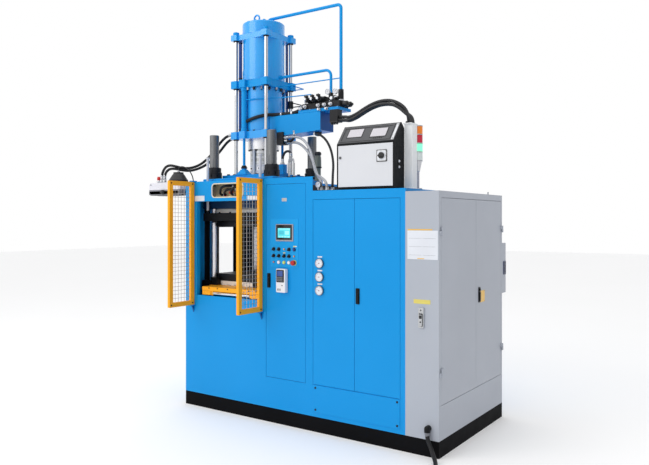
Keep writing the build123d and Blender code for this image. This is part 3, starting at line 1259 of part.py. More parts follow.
def console_housing():
    """Folded housing with a sloping screen face, a door opening and two base rails"""
    outer = Pos(CONSOLE_X0, 0, 0) * extrude(console_outline(0), CONSOLE_X1 - CONSOLE_X0, dir=(1, 0, 0))
    width = CONSOLE_X1 - CONSOLE_X0 - 2 * CONSOLE_SHEET
    hollow = extrude(console_outline(CONSOLE_SHEET), width, dir=(1, 0, 0))
    inner = Pos(CONSOLE_X0 + CONSOLE_SHEET, 0, 0) * hollow
    body = outer - inner
    x0, x1, z0, z1 = console_door_range()
    body = cut_opening(body, at_console, x0, x1, z0, z1, LIP_D - 5, CONSOLE_SHEET, DOOR_GAP)
    body = pivot_holes(body, at_console, x1 - PIVOT_IN, z0, z1)
    for y in (CONSOLE_FRONT_Y + CONSOLE_RAIL_W, CONSOLE_REAR_Y - CONSOLE_RAIL_W):
        body = body + block(CONSOLE_X0 + 10, CONSOLE_X1 - 10, y - CONSOLE_RAIL_W / 2, y + CONSOLE_RAIL_W / 2,
                            HYDRAULIC_TOP, CONSOLE_Z0 + 0.5)
    return body


def console_door():
    x0, x1, z0, z1 = console_door_range()
    door = flush_door(x0, x1, z0, z1, True, CONSOLE_DOOR_T)
    half = MAIN_SWITCH_PLATE / 2
    plate_part = rounded_block(MAIN_SWITCH_X - half, MAIN_SWITCH_X + half, -MAIN_SWITCH_PLATE_T, 0.5,
                               MAIN_SWITCH_Z - half, MAIN_SWITCH_Z + half, 5, Axis.Y)
    door = door + plate_part
    door = door - pin_y(MAIN_SWITCH_X, -10, 10, MAIN_SWITCH_Z, MAIN_SWITCH_SHAFT_R + FIT)
    lock = pin_y(x0 + 21, -6, 0.5, MAIN_SWITCH_Z, 10)
    return at_console(door + lock)


def main_switch():
    """Rotary handle with a grip bar and a short shaft"""
    face = -MAIN_SWITCH_PLATE_T - REST_GAP
    disc = pin_y(MAIN_SWITCH_X, face - MAIN_SWITCH_H, face, MAIN_SWITCH_Z, MAIN_SWITCH_R)
    grip = rounded_block(MAIN_SWITCH_X - MAIN_SWITCH_R, MAIN_SWITCH_X + MAIN_SWITCH_R,
                         face - MAIN_SWITCH_GRIP_H, face - 1, MAIN_SWITCH_Z - MAIN_SWITCH_GRIP_W / 2,
                         MAIN_SWITCH_Z + MAIN_SWITCH_GRIP_W / 2, 4, Axis.Y)
    shaft = pin_y(MAIN_SWITCH_X, face - 1, CONSOLE_DOOR_T, MAIN_SWITCH_Z, MAIN_SWITCH_SHAFT_R)
    return at_console(union(disc, grip, shaft))


def cable_duct():
    """Closed trunk with a flanged foot and an entry collar on top"""
    body = block(DUCT_X0, DUCT_X1, DUCT_Y0, DUCT_Y1, HYDRAULIC_TOP, DUCT_Z1)
    body = chamfer(body.edges().filter_by(Axis.Z), 3)
    foot = block(DUCT_X0 - 2, DUCT_X1 + 14, DUCT_Y0 - 14, DUCT_Y1 + 4, HYDRAULIC_TOP, HYDRAULIC_TOP + 4)
    return body + foot


def signal_tower():
    """Stacked lamp modules on a pole with a foot"""
    foot = HYDRAULIC_TOP + TOWER_FOOT_H
    outline = [(0, HYDRAULIC_TOP), (TOWER_FOOT_R, HYDRAULIC_TOP), (TOWER_FOOT_R, foot),
               (TOWER_POLE_R, foot), (TOWER_POLE_R, TOWER_Z0 - 30), (TOWER_R - 8, TOWER_Z0)]
    for index in range(TOWER_MODULES):
        z0 = TOWER_Z0 + index * TOWER_MODULE_H
        z1 = z0 + TOWER_MODULE_H
        outline += [(TOWER_R - 3, z0), (TOWER_R - 3, z0 + 6), (TOWER_R, z0 + 6), (TOWER_R, z1 - 2)]
    outline.append((0, TOWER_Z0 + TOWER_MODULES * TOWER_MODULE_H))
    return turned(TOWER_X, TOWER_Y, outline)


def side_unit():
    """Rounded unit on a bracket, with a bell-shaped cup and three hose ports"""
    y_mid = (SIDE_UNIT_Y0 + SIDE_UNIT_Y1) / 2
    body = rounded_block(SIDE_UNIT_X0, SIDE_UNIT_X1, SIDE_UNIT_Y0, SIDE_UNIT_Y1, SIDE_UNIT_Z0, SIDE_UNIT_Z1,
                         SIDE_UNIT_R, Axis.Y)
    body = fillet(body.faces().sort_by(Axis.Y)[0].edges(), 6)
    cup = turned(SIDE_CUP_X, y_mid, [(0, SIDE_UNIT_Z1 - 1), (SIDE_CUP_R0, SIDE_UNIT_Z1 - 1),
                                     (SIDE_CUP_R0, SIDE_UNIT_Z1 + 22), (SIDE_CUP_R1 + 14, SIDE_CUP_Z1 - 30),
                                     (SIDE_CUP_R1, SIDE_CUP_Z1 - 12), (SIDE_CUP_R1, SIDE_CUP_Z1),
                                     (0, SIDE_CUP_Z1)])
    body = body + cup
    for x in SIDE_PORT_X:
        body = body + post(x, y_mid, SIDE_UNIT_Z1 - 1, SIDE_UNIT_Z1 + SIDE_PORT_H, SIDE_PORT_R)
    wall = block(LEFT_X - SIDE_ARM_T, LEFT_X, SIDE_UNIT_Y0 + 60, SIDE_UNIT_Y1,
                 SIDE_UNIT_Z0 - 60, SIDE_UNIT_Z1 - 10)
    shelf = block(SIDE_UNIT_X0 + 60, LEFT_X, SIDE_UNIT_Y0 + 60, SIDE_UNIT_Y1, SIDE_UNIT_Z0 - SIDE_ARM_T,
                  SIDE_UNIT_Z0)
    return group(body, wall + shelf)


# Injection unit
def unit_plate(z0, thickness, tabs):
    """Square plate with corner ears for the guide rods and, if asked, tabs for the lift cylinders"""
    z1 = z0 + thickness
    body = block(AXIS_X - PLATE_CORE, AXIS_X + PLATE_CORE, AXIS_Y - PLATE_CORE, AXIS_Y + PLATE_CORE, z0, z1)
    for x, y in corners(AXIS_X, AXIS_Y, ROD_D, ROD_D):
        body = body + rounded_block(x - EAR / 2, x + EAR / 2, y - EAR / 2, y + EAR / 2, z0, z1, 8)
    if tabs:
        for x, y in lift_places():
            y0, y1 = sorted((AXIS_Y, y + math.copysign(LIFT_BARREL_R + 10, y - AXIS_Y)))
            body = body + block(x - LIFT_BARREL_R - 10, x + LIFT_BARREL_R + 10, y0, y1, z0, z1)
    for x, y in corners(AXIS_X, AXIS_Y, ROD_D, ROD_D):
        body = body - post(x, y, z0 - 1, z1 + 1, ROD_R + FIT)
    return body


def lift_places():
    return [(AXIS_X + LIFT_DX, AXIS_Y + LIFT_DY), (AXIS_X - LIFT_DX, AXIS_Y - LIFT_DY)]


def guide_rods():
    rods = []
    top = TOP_PLATE_Z0 + TOP_PLATE_T
    for x, y in corners(AXIS_X, AXIS_Y, ROD_D, ROD_D):
        rod = chamfer(post(x, y, ROD_Z0, top + ROD_NUT_H + 6, ROD_R).edges(), 2)
        nut = Pos(x, y, top) * extrude(RegularPolygon(ROD_NUT_R, 6), ROD_NUT_H)
        rods.append(rod + nut)
    return group(*rods)


def injection_base_plate():
    """Spacer and plate on the upper platen, with two tapered blocks for the lift rods"""
    z0 = BASE_PLATE_Z0
    z1 = z0 + BASE_SPACER_T
    z2 = z1 + BASE_PLATE_T
    spacer = block(AXIS_X - BASE_PLATE_HX + 15, AXIS_X + BASE_PLATE_HX - 15,
                   AXIS_Y - BASE_PLATE_HY + 15, AXIS_Y + BASE_PLATE_HY - 15, z0, z1)
    body = block(AXIS_X - BASE_PLATE_HX, AXIS_X + BASE_PLATE_HX, AXIS_Y - BASE_PLATE_HY,
                 AXIS_Y + BASE_PLATE_HY, z1, z2)
    for x, y in lift_places():
        foot = Plane((x, y, z2 - 0.5)) * Rectangle(2 * LIFT_BLOCK_HX, 2 * LIFT_BLOCK_HX * 0.75)
        head = Plane((x, y, z2 + LIFT_BLOCK_H)) * Rectangle(2 * LIFT_BLOCK_TOP_HX, 2 * LIFT_BLOCK_TOP_HX)
        body = body + loft([foot.face(), head.face()])
    pieces = []
    for piece in (spacer, body):
        piece = piece - post(AXIS_X, AXIS_Y, z0 - 1, z2 + 1, NOZZLE_R + 8)
        for x, y in corners(AXIS_X, AXIS_Y, ROD_D, ROD_D):
            piece = piece - post(x, y, z0 - 1, z2 + 1, ROD_R + FIT)
        pieces.append(piece)
    return group(*pieces)


def lift_rods():
    """Two lift rods with nut, cone and piston, and a plain stop rod under the unit"""
    z = BASE_PLATE_Z0 + BASE_SPACER_T + BASE_PLATE_T
    foot = z + LIFT_BLOCK_H
    piston = LIFT_PISTON_TOP
    outline = [(0, foot), (22, foot), (22, foot + 18), (18, foot + 18), (LIFT_PISTON_R, foot + 48),
               (LIFT_PISTON_R, piston - 25), (LIFT_BARREL_R - 5 - FIT, piston - 25),
               (LIFT_BARREL_R - 5 - FIT, piston), (0, piston)]
    rods = [turned(x, y, outline) for x, y in lift_places()]
    rods.append(post(AXIS_X, AXIS_Y + STOP_ROD_DY, z, RING_Z0 - REST_GAP, LIFT_PISTON_R))
    return group(*rods)


def lift_cylinders():
    """Barrels between the two unit plates, round the pistons"""
    z0 = LOW_PLATE_Z0 + LOW_PLATE_T
    z1 = MID_PLATE_Z0
    inner = LIFT_BARREL_R - 5
    outline = [(inner, z0), (LIFT_BARREL_R + 4, z0), (LIFT_BARREL_R + 4, z0 + 30), (LIFT_BARREL_R, z0 + 30),
               (LIFT_BARREL_R, z1 - 30), (LIFT_BARREL_R + 4, z1 - 30), (LIFT_BARREL_R + 4, z1), (0, z1),
               (0, z1 - 15), (inner, z1 - 15)]
    return group(*[turned(x, y, outline) for x, y in lift_places()])


def cylinder_head():
    """Top plate with ears and the round cap on it"""
    z1 = TOP_PLATE_Z0 + TOP_PLATE_T
    head = unit_plate(TOP_PLATE_Z0, TOP_PLATE_T, False)
    cap = post(AXIS_X, AXIS_Y, z1, z1 + CAP_H, CAP_R)
    cap = fillet(cap.faces().sort_by(Axis.Z)[-1].edges(), 12)
    return group(head, cap)


def eyebolt():
    x = AXIS_X + EYEBOLT_DX
    z0 = TOP_PLATE_Z0 + TOP_PLATE_T + CAP_H
    z1 = z0 + EYEBOLT_COLLAR_H
    collar = turned(x, AXIS_Y, [(0, z0), (EYEBOLT_COLLAR_R, z0), (EYEBOLT_COLLAR_R, z0 + 6),
                                (12, z1 + 6), (0, z1 + 6)])
    centre = z1 + EYEBOLT_RING_R + EYEBOLT_WIRE_R - 3
    ring = Pos(x, AXIS_Y, centre) * Rot(90, 0, 0) * Torus(EYEBOLT_RING_R, EYEBOLT_WIRE_R)
    return collar + ring


def injection_cylinder():
    """Cylinder between mid plate and top plate, with a shallow collar at its foot"""
    z0 = MID_PLATE_Z0 + MID_PLATE_T
    z1 = TOP_PLATE_Z0
    inner = PISTON_R + FIT
    outline = [(inner, z0), (CYLINDER_COLLAR_R, z0), (CYLINDER_COLLAR_R, z0 + CYLINDER_COLLAR_H),
               (CYLINDER_R, z0 + CYLINDER_COLLAR_H), (CYLINDER_R, z1), (inner, z1)]
    return turned(AXIS_X, AXIS_Y, outline)


def injection_plunger():
    """Piston and plunger in one"""
    z0 = MID_PLATE_Z0 + MID_PLATE_T + REST_GAP
    outline = [(0, PLUNGER_Z0), (PLUNGER_R, PLUNGER_Z0), (PLUNGER_R, z0), (PISTON_R, z0),
               (PISTON_R, z0 + PISTON_T), (0, z0 + PISTON_T)]
    return turned(AXIS_X, AXIS_Y, outline)


def mid_plate():
    body = unit_plate(MID_PLATE_Z0, MID_PLATE_T, True)
    return body - post(AXIS_X, AXIS_Y, MID_PLATE_Z0 - 1, MID_PLATE_Z0 + MID_PLATE_T + 1, PLUNGER_R + FIT)


def plasticizing_body():
    """Round body and its lower plate, bored for the plunger and the lift rods"""
    z1 = LOW_PLATE_Z0 + LOW_PLATE_T
    low = unit_plate(LOW_PLATE_Z0, LOW_PLATE_T, True)
    for x, y in lift_places():
        low = low - post(x, y, LOW_PLATE_Z0 - 1, z1 + 1, LIFT_PISTON_R + FIT)
    body = post(AXIS_X, AXIS_Y, z1, MID_PLATE_Z0, BODY_R)
    bore = post(AXIS_X, AXIS_Y, LOW_PLATE_Z0 - 1, MID_PLATE_Z0 + 1, PLUNGER_R + FIT)
    return group(low - bore, body - bore)


def nozzle_barrel():
    """Ring, barrel, collar and nozzle, bored for the plunger and the melt"""
    tip = UPPER_PLATEN_Z0 - INSULATION_UPPER_T + REST_GAP
    chamber = PLUNGER_R + FIT
    floor = PLUNGER_Z0 - REST_GAP
    outline = [(NOZZLE_BORE_R, tip), (NOZZLE_TIP_R, tip), (NOZZLE_TIP_R, tip + 12),
               (NOZZLE_R, NOZZLE_TAPER_Z), (NOZZLE_R, COLLAR_Z0), (COLLAR_R, COLLAR_Z0),
               (COLLAR_R, BARREL_Z0), (BARREL_R, BARREL_Z0), (BARREL_R, RING_Z0), (RING_R, RING_Z0),
               (RING_R, LOW_PLATE_Z0), (chamber, LOW_PLATE_Z0), (chamber, floor), (NOZZLE_BORE_R, floor - 60)]
    return turned(AXIS_X, AXIS_Y, outline)


def beam_arm():
    """Welded box arm that tapers to its end, with an end plate"""
    side = make_face(Plane.XZ * Polyline(
        (AXIS_X + BODY_R * 0.9, BEAM_ROOT_Z0 + LOW_PLATE_T), (AXIS_X + BODY_R * 0.9, BEAM_Z1),
        (BEAM_X1, BEAM_Z1), (BEAM_X1, BEAM_END_Z0), (AXIS_X + PLATE_CORE + EAR_OUT + 2, BEAM_ROOT_Z0),
        (AXIS_X + PLATE_CORE + EAR_OUT + 2, BEAM_ROOT_Z0 + LOW_PLATE_T), close=True))
    arm = Pos(0, AXIS_Y + BEAM_HY, 0) * extrude(side, 2 * BEAM_HY, dir=(0, -1, 0))
    arm = chamfer(arm.edges().filter_by(Axis.X), 3)
    return arm - post(AXIS_X, AXIS_Y, BEAM_ROOT_Z0 - 10, BEAM_Z1 + 10, BODY_R)


def valve_manifold():
    """Mounting plate and manifold block, three valves with coils, two risers and a junction box"""
    z0 = BEAM_Z1
    z1 = z0 + VALVE_PLATE_T
    z2 = z1 + VALVE_BLOCK_H
    plate_part = block(VALVE_PLATE_X0, VALVE_PLATE_X1, AXIS_Y - BEAM_HY, AXIS_Y + BEAM_HY, z0, z1)
    base = block(VALVE_BLOCK_X0, VALVE_BLOCK_X1, AXIS_Y - VALVE_BLOCK_HY, AXIS_Y + VALVE_BLOCK_HY, z1, z2)
    base = chamfer(base.edges().filter_by(Axis.Z), 4)
    for x, top, radius in ((MAIN_PIPE_X, MAIN_PIPE_FOOT, 24), (SECOND_PIPE_X, SECOND_PIPE_FOOT, 21)):
        base = base + post(x, AXIS_Y, z2 - 1, top - 22, radius)
        base = base + Pos(x, AXIS_Y, top - 22) * extrude(RegularPolygon(radius + 2, 6), 22)
    pieces = [plate_part, base]
    for index in range(VALVE_COUNT):
        x = VALVE_FIRST_X + index * VALVE_PITCH
        body = block(x - VALVE_W / 2, x + VALVE_W / 2, AXIS_Y - 48, AXIS_Y + 48, z2, z2 + VALVE_H)
        for side in (-1, 1):
            y0, y1 = sorted((AXIS_Y + side * 47, AXIS_Y + side * (48 + VALVE_COIL_LEN)))
            body = body + pin_y(x, y0, y1, z2 + VALVE_H / 2, VALVE_COIL_R)
            ends = (AXIS_Y + side * (47 + VALVE_COIL_LEN), AXIS_Y + side * (66 + VALVE_COIL_LEN))
            tip0, tip1 = sorted(ends)
            body = body + pin_y(x, tip0, tip1, z2 + VALVE_H / 2, VALVE_COIL_R * 0.5)
        pieces.append(body)
    pieces.append(block(*JUNCTION_X, *JUNCTION_Y, JUNCTION_Z0, z0))
    for x_range, y_range, low in UNDER_BLOCKS:
        pieces.append(block(*x_range, *y_range, low, BEAM_END_Z0 + 10) - beam_arm())
    return group(*pieces)


def bend_path(points, radii):
    """Straight runs joined by tangent arcs"""
    return FilletPolyline(*points, radius=radii)


def pipe(points, radius, bend):
    """Steel pipe with one bend radius at every corner"""
    path = bend_path(points, bend)
    return sweep(Plane(origin=path @ 0, z_dir=path % 0) * Circle(radius), path=path)


def hydraulic_pipes():
    cap_top = TOP_PLATE_Z0 + TOP_PLATE_T + CAP_H
    main = pipe([(MAIN_PIPE_START_X, AXIS_Y, cap_top), (MAIN_PIPE_START_X, AXIS_Y, MAIN_PIPE_Z),
                 (MAIN_PIPE_X, AXIS_Y, MAIN_PIPE_Z), (MAIN_PIPE_X, AXIS_Y, MAIN_PIPE_FOOT)], MAIN_PIPE_R, 36)
    flange = post(MAIN_PIPE_START_X, AXIS_Y, cap_top, cap_top + 12, MAIN_PIPE_R + 14)
    side_x = AXIS_X + CYLINDER_R
    second = pipe([(side_x - 1, AXIS_Y, SECOND_PIPE_Z - 4), (SECOND_PIPE_X, AXIS_Y, SECOND_PIPE_Z),
                   (SECOND_PIPE_X, AXIS_Y, SECOND_PIPE_FOOT)], SECOND_PIPE_R, 55)
    boss = pin_x(side_x - 1, side_x + 22, AXIS_Y, SECOND_PIPE_Z - 4, SECOND_PIPE_R + 7)
    second = (second + boss) - post(AXIS_X, AXIS_Y, MID_PLATE_Z0, TOP_PLATE_Z0, CYLINDER_COLLAR_R)
    drain = pin_x(AXIS_X + PLATE_CORE, MAIN_PIPE_X - MAIN_PIPE_R + 2, AXIS_Y, DRAIN_PIPE_Z, THIN_PIPE_R)
    bleed_points = [(AXIS_X + dx, AXIS_Y + dy, z) for dx, dy, z in BLEED_ROUTE]
    bleed = pipe(bleed_points, THIN_PIPE_R, 24)
    return group(main + flange + drain, second, bleed)


# Cords and hoses
def corner_radii(points):
    """Arc radius at each corner, from the shorter run beside it"""
    radii = []
    for before, here, after in zip(points, points[1:], points[2:]):
        run_in = Vector(*here) - Vector(*before)
        run_out = Vector(*after) - Vector(*here)
        half_turn = math.radians(run_in.get_angle(run_out)) / 2
        radii.append(0.45 * min(run_in.length, run_out.length) / math.tan(half_turn))
    return radii


def hose(name, points, radius):
    """Tube along a hand-chosen route"""
    radii = corner_radii(points)
    path = bend_path(points, radii)
    tube = sweep(Plane(origin=path @ 0, z_dir=path % 0) * Circle(radius), path=path)
    expected = math.pi * radius ** 2 * path.length
    print(name, "length", round(path.length), "volume ratio", round(tube.volume / expected, 3),
          "radii", [round(value) for value in radii])
    return tube


def conduit_bundle():
    """Three conduits side by side"""
    tubes = []
    for index, (dy, dz) in enumerate(CONDUIT_OFFSETS):
        points = [(x, y + dy, z) for x, y, z in CONDUIT_ROUTE[:-2]]
        points = [(x, y, z + dz) for x, y, z in points]
        points += [(x - dz, y + dy, z) for x, y, z in CONDUIT_ROUTE[-2:]]
        tubes.append(hose("conduit " + str(index), points, CONDUIT_R))
    return group(*tubes)


def supply_coil():
    """Wound cable as one closed ring"""
    mean = COIL_MEAN_R
    band = COIL_BAND / 2
    section = Pos(mean, 0, COIL_H / 2) * Rot(90, 0, 0) * RectangleRounded(2 * band, COIL_H, CABLE_R * 0.9)
    return Pos(COIL_X, COIL_Y, 0) * revolve(section, Axis.Z)


PARTS = {
    "base_frame": base_frame,
    "press_bed": press_bed,
    "clamp_cylinder": clamp_cylinder,
    "tie_bars": tie_bars,
    "tie_bar_nuts": tie_bar_nuts,
    "upper_platen": upper_platen,
    "upper_heating_plate": upper_heating_plate,
    "upper_adapter_plate": upper_adapter_plate,
    "press_enclosure": press_enclosure,
    "control_column": control_column,
    "hydraulic_cabinet": hydraulic_cabinet,
    "oil_tank": oil_tank,
    "pump_motor": pump_motor,
    "electrical_cabinet": electrical_cabinet,
    "electrical_panel": electrical_panel,
    "cooling_unit": cooling_unit,
    "console_housing": console_housing,
    "cable_duct": cable_duct,
    "signal_tower": signal_tower,
    "injection_base_plate": injection_base_plate,
    "lift_rods": lift_rods,
    "side_unit": side_unit,
    "clamp_ram": clamp_ram,
    "lower_platen": lower_platen,
    "lower_heating_plate": lower_heating_plate,
    "slide_table": slide_table,
    "lower_adapter_plate": lower_adapter_plate,
    "lift_frame": lift_frame,
    "guard_left": lambda: guard(*guard_hinges()[0]),
    "guard_right": lambda: guard(*guard_hinges()[1]),
    "control_door": control_door,
    "hmi": hmi,
    "handset": handset,
    "control_switches": control_switches,
    "emergency_stop": emergency_stop,
    "cabinet_door_left": cabinet_door_left,
    "pressure_gauges": pressure_gauges,
    "cabinet_door_right": cabinet_door_right,
    "side_door_front": side_door_front,
    "side_door_rear": side_door_rear,
    "console_door": console_door,
    "main_switch": main_switch,
    "guide_rods": guide_rods,
    "cylinder_head": cylinder_head,
    "injection_cylinder": injection_cylinder,
    "mid_plate": mid_plate,
    "plasticizing_body": plasticizing_body,
    "nozzle_barrel": nozzle_barrel,
    "lift_cylinders": lift_cylinders,
    "beam_arm": beam_arm,
    "valve_manifold": valve_manifold,
    "hydraulic_pipes": hydraulic_pipes,
    "eyebolt": eyebolt,
    "injection_plunger": injection_plunger,
    "conduit_bundle": conduit_bundle,
    "side_hoses": lambda: group(*[hose("side hose", route, SIDE_HOSE_R) for route in SIDE_ROUTES]),
    "grey_hoses": lambda: group(*[hose("grey hose", route, GREY_HOSE_R) for route in GREY_ROUTES]),
    "drop_hose": lambda: hose("drop hose", DROP_ROUTE, DROP_HOSE_R),
    "supply_cable": lambda: hose("supply cable", SUPPLY_ROUTE, CABLE_R),
    "supply_coil": supply_coil,
}

os.makedirs("parts", exist_ok=True)
for node, make in PARTS.items():
    export_step(make(), "parts/" + node + ".step")
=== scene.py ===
"""Vertical rubber injection moulding machine: finishes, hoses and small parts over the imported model.

Everything is in metres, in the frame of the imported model: +X right, +Y to the rear, +Z up. Only route_mm,
outline_mm, Shape.turned and Shape.panels are given millimetres.
"""
import json
from itertools import product
from math import cos, pi, radians, sin, sqrt

import bmesh
import bpy
from mathutils import Matrix, Vector
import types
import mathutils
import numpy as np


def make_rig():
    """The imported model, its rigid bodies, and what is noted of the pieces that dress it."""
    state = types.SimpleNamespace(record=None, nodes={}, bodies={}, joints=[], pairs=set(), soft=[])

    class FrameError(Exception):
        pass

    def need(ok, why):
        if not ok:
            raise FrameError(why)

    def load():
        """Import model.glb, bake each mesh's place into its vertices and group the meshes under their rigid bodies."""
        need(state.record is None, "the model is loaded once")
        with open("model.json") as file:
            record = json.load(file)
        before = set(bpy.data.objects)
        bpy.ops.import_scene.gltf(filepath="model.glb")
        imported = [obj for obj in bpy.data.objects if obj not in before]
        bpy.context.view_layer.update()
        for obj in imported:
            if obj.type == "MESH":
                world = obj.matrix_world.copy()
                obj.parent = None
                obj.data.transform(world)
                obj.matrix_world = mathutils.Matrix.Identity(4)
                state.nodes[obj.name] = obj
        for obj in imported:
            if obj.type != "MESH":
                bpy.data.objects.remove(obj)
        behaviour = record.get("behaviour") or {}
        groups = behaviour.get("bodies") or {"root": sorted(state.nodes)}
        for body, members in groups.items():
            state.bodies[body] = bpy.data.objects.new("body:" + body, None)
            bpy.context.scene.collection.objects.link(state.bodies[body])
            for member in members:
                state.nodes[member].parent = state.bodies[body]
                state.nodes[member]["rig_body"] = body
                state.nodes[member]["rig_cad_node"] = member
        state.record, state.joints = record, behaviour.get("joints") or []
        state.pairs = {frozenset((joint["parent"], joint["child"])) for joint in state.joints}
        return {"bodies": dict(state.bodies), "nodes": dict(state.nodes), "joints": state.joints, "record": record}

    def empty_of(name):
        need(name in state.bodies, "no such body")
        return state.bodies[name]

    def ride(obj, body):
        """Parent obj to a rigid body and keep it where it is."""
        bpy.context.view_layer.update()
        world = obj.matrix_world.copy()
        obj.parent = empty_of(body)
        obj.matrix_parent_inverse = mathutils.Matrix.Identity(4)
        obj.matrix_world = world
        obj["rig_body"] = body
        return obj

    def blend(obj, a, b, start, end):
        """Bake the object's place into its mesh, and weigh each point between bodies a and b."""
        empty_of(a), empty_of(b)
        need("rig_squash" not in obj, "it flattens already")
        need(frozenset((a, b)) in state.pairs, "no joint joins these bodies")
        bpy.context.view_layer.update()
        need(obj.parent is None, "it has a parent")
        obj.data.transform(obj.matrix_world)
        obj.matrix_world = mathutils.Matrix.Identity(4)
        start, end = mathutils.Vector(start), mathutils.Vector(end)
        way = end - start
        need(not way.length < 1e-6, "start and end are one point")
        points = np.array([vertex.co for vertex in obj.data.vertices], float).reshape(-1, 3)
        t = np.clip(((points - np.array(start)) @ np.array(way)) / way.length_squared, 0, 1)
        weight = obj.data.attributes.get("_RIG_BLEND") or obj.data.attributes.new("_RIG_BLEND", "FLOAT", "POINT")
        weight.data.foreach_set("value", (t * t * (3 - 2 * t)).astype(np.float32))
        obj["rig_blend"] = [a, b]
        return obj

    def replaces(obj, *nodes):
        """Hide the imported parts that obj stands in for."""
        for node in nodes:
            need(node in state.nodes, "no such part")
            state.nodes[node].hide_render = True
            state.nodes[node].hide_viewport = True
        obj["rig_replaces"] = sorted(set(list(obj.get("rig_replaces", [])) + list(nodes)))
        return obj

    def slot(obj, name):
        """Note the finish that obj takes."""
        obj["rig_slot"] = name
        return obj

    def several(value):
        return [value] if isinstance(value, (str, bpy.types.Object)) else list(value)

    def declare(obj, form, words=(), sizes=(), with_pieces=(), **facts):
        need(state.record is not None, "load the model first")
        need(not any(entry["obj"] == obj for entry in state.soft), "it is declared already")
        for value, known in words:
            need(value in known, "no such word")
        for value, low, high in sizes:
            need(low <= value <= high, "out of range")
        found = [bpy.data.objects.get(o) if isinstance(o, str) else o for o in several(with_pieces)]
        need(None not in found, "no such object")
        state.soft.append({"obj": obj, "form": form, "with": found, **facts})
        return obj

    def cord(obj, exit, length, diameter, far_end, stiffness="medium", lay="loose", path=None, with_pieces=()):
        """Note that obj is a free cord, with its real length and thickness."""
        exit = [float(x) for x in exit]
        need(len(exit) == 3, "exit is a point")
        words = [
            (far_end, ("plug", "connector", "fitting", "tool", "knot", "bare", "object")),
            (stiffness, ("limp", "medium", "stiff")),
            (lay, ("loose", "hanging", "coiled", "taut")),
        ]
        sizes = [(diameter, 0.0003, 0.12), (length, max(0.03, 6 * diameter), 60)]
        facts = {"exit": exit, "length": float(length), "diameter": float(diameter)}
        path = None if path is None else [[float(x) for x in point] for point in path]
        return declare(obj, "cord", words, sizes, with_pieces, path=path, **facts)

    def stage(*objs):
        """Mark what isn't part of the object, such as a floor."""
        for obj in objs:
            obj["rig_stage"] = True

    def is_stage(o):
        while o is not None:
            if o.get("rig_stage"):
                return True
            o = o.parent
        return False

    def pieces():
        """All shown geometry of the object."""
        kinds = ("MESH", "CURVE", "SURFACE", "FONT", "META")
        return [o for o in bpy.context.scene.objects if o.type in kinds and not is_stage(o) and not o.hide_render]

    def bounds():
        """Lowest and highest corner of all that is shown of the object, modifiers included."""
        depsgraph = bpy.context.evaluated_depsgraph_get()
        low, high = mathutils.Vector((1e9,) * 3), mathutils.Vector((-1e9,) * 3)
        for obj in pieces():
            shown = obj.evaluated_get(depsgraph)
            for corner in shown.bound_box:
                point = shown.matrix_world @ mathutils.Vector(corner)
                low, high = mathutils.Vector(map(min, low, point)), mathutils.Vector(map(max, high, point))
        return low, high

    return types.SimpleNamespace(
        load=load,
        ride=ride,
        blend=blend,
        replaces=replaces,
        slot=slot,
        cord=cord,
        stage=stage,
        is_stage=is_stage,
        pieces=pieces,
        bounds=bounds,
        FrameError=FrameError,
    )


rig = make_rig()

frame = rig.load()
NODES = frame["nodes"]
cad_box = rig.bounds()

# Camera fitted to the photograph's cabinet edges
CAMERA_AT = (3.228, -4.857, 1.65)
CAMERA_AZIMUTH = 34.8
CAMERA_LENS = 37.168
CAMERA_SHIFT_Y = -0.0194
FLOOR_HALF = 30.0


def add_object(name, data):
    obj = bpy.data.objects.new(name, data)
    bpy.context.collection.objects.link(obj)
    return obj


# Stage: camera, floor and soft studio light
def add_camera():
    data = bpy.data.cameras.new("photo_camera")
    data.sensor_width = 36.0
    data.lens = CAMERA_LENS
    data.shift_y = CAMERA_SHIFT_Y
    data.clip_end = 60.0
    camera = add_object("photo_camera", data)
    camera.location = CAMERA_AT
    camera.rotation_euler = (radians(90.0), 0.0, radians(CAMERA_AZIMUTH))
    bpy.context.scene.camera = camera


def add_area_light(name, at, target, size, power):
    data = bpy.data.lights.new(name, "AREA")
    data.shape = "RECTANGLE"
    data.size, data.size_y = size
    data.energy = power
    light = add_object(name, data)
    light.location = at
    light.rotation_euler = (Vector(target) - Vector(at)).to_track_quat("-Z", "Y").to_euler()


def add_stage():
    world = bpy.data.worlds.new("studio")
    bpy.context.scene.world = world
    world.use_nodes = True
    tree = world.node_tree
    # white all round, darker towards +X so that the right-hand faces are in soft shade
    way = node(tree, "SeparateXYZ", {0: tree.nodes.new("ShaderNodeTexCoord").outputs["Generated"]}, 0)
    sky = mix(tree, remap(tree, way, 0.15, 0.85), (1.0, 1.0, 1.0), (0.46, 0.47, 0.5))
    fill(tree, tree.nodes["Background"], {"Strength": 1.0, "Color": sky})
    mesh = bpy.data.meshes.new("studio_floor")
    corners = [(x * FLOOR_HALF, y * FLOOR_HALF, 0) for x, y in ((-1, -1), (1, -1), (1, 1), (-1, 1))]
    mesh.from_pydata(corners, [], [(0, 1, 2, 3)])
    floor = add_object("studio_floor", mesh)
    mesh.materials.append(floor_material())
    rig.stage(floor)
    add_area_light("key_light", (-3.5, -6.5, 6.0), (-0.2, -0.6, 1.6), (5.0, 4.0), 150.0)
    add_area_light("top_light", (0.5, -1.0, 7.5), (0.0, 0.0, 1.5), (6.0, 4.0), 60.0)
    bpy.context.scene.view_settings.view_transform = "Standard"


# Materials
def shader(name):
    """A new material with its node tree, its principled shader and an object-space coordinate output"""
    material = bpy.data.materials.new(name)
    material.use_nodes = True
    tree = material.node_tree
    place = tree.nodes.new("ShaderNodeTexCoord").outputs["Object"]
    return material, tree, tree.nodes["Principled BSDF"], place


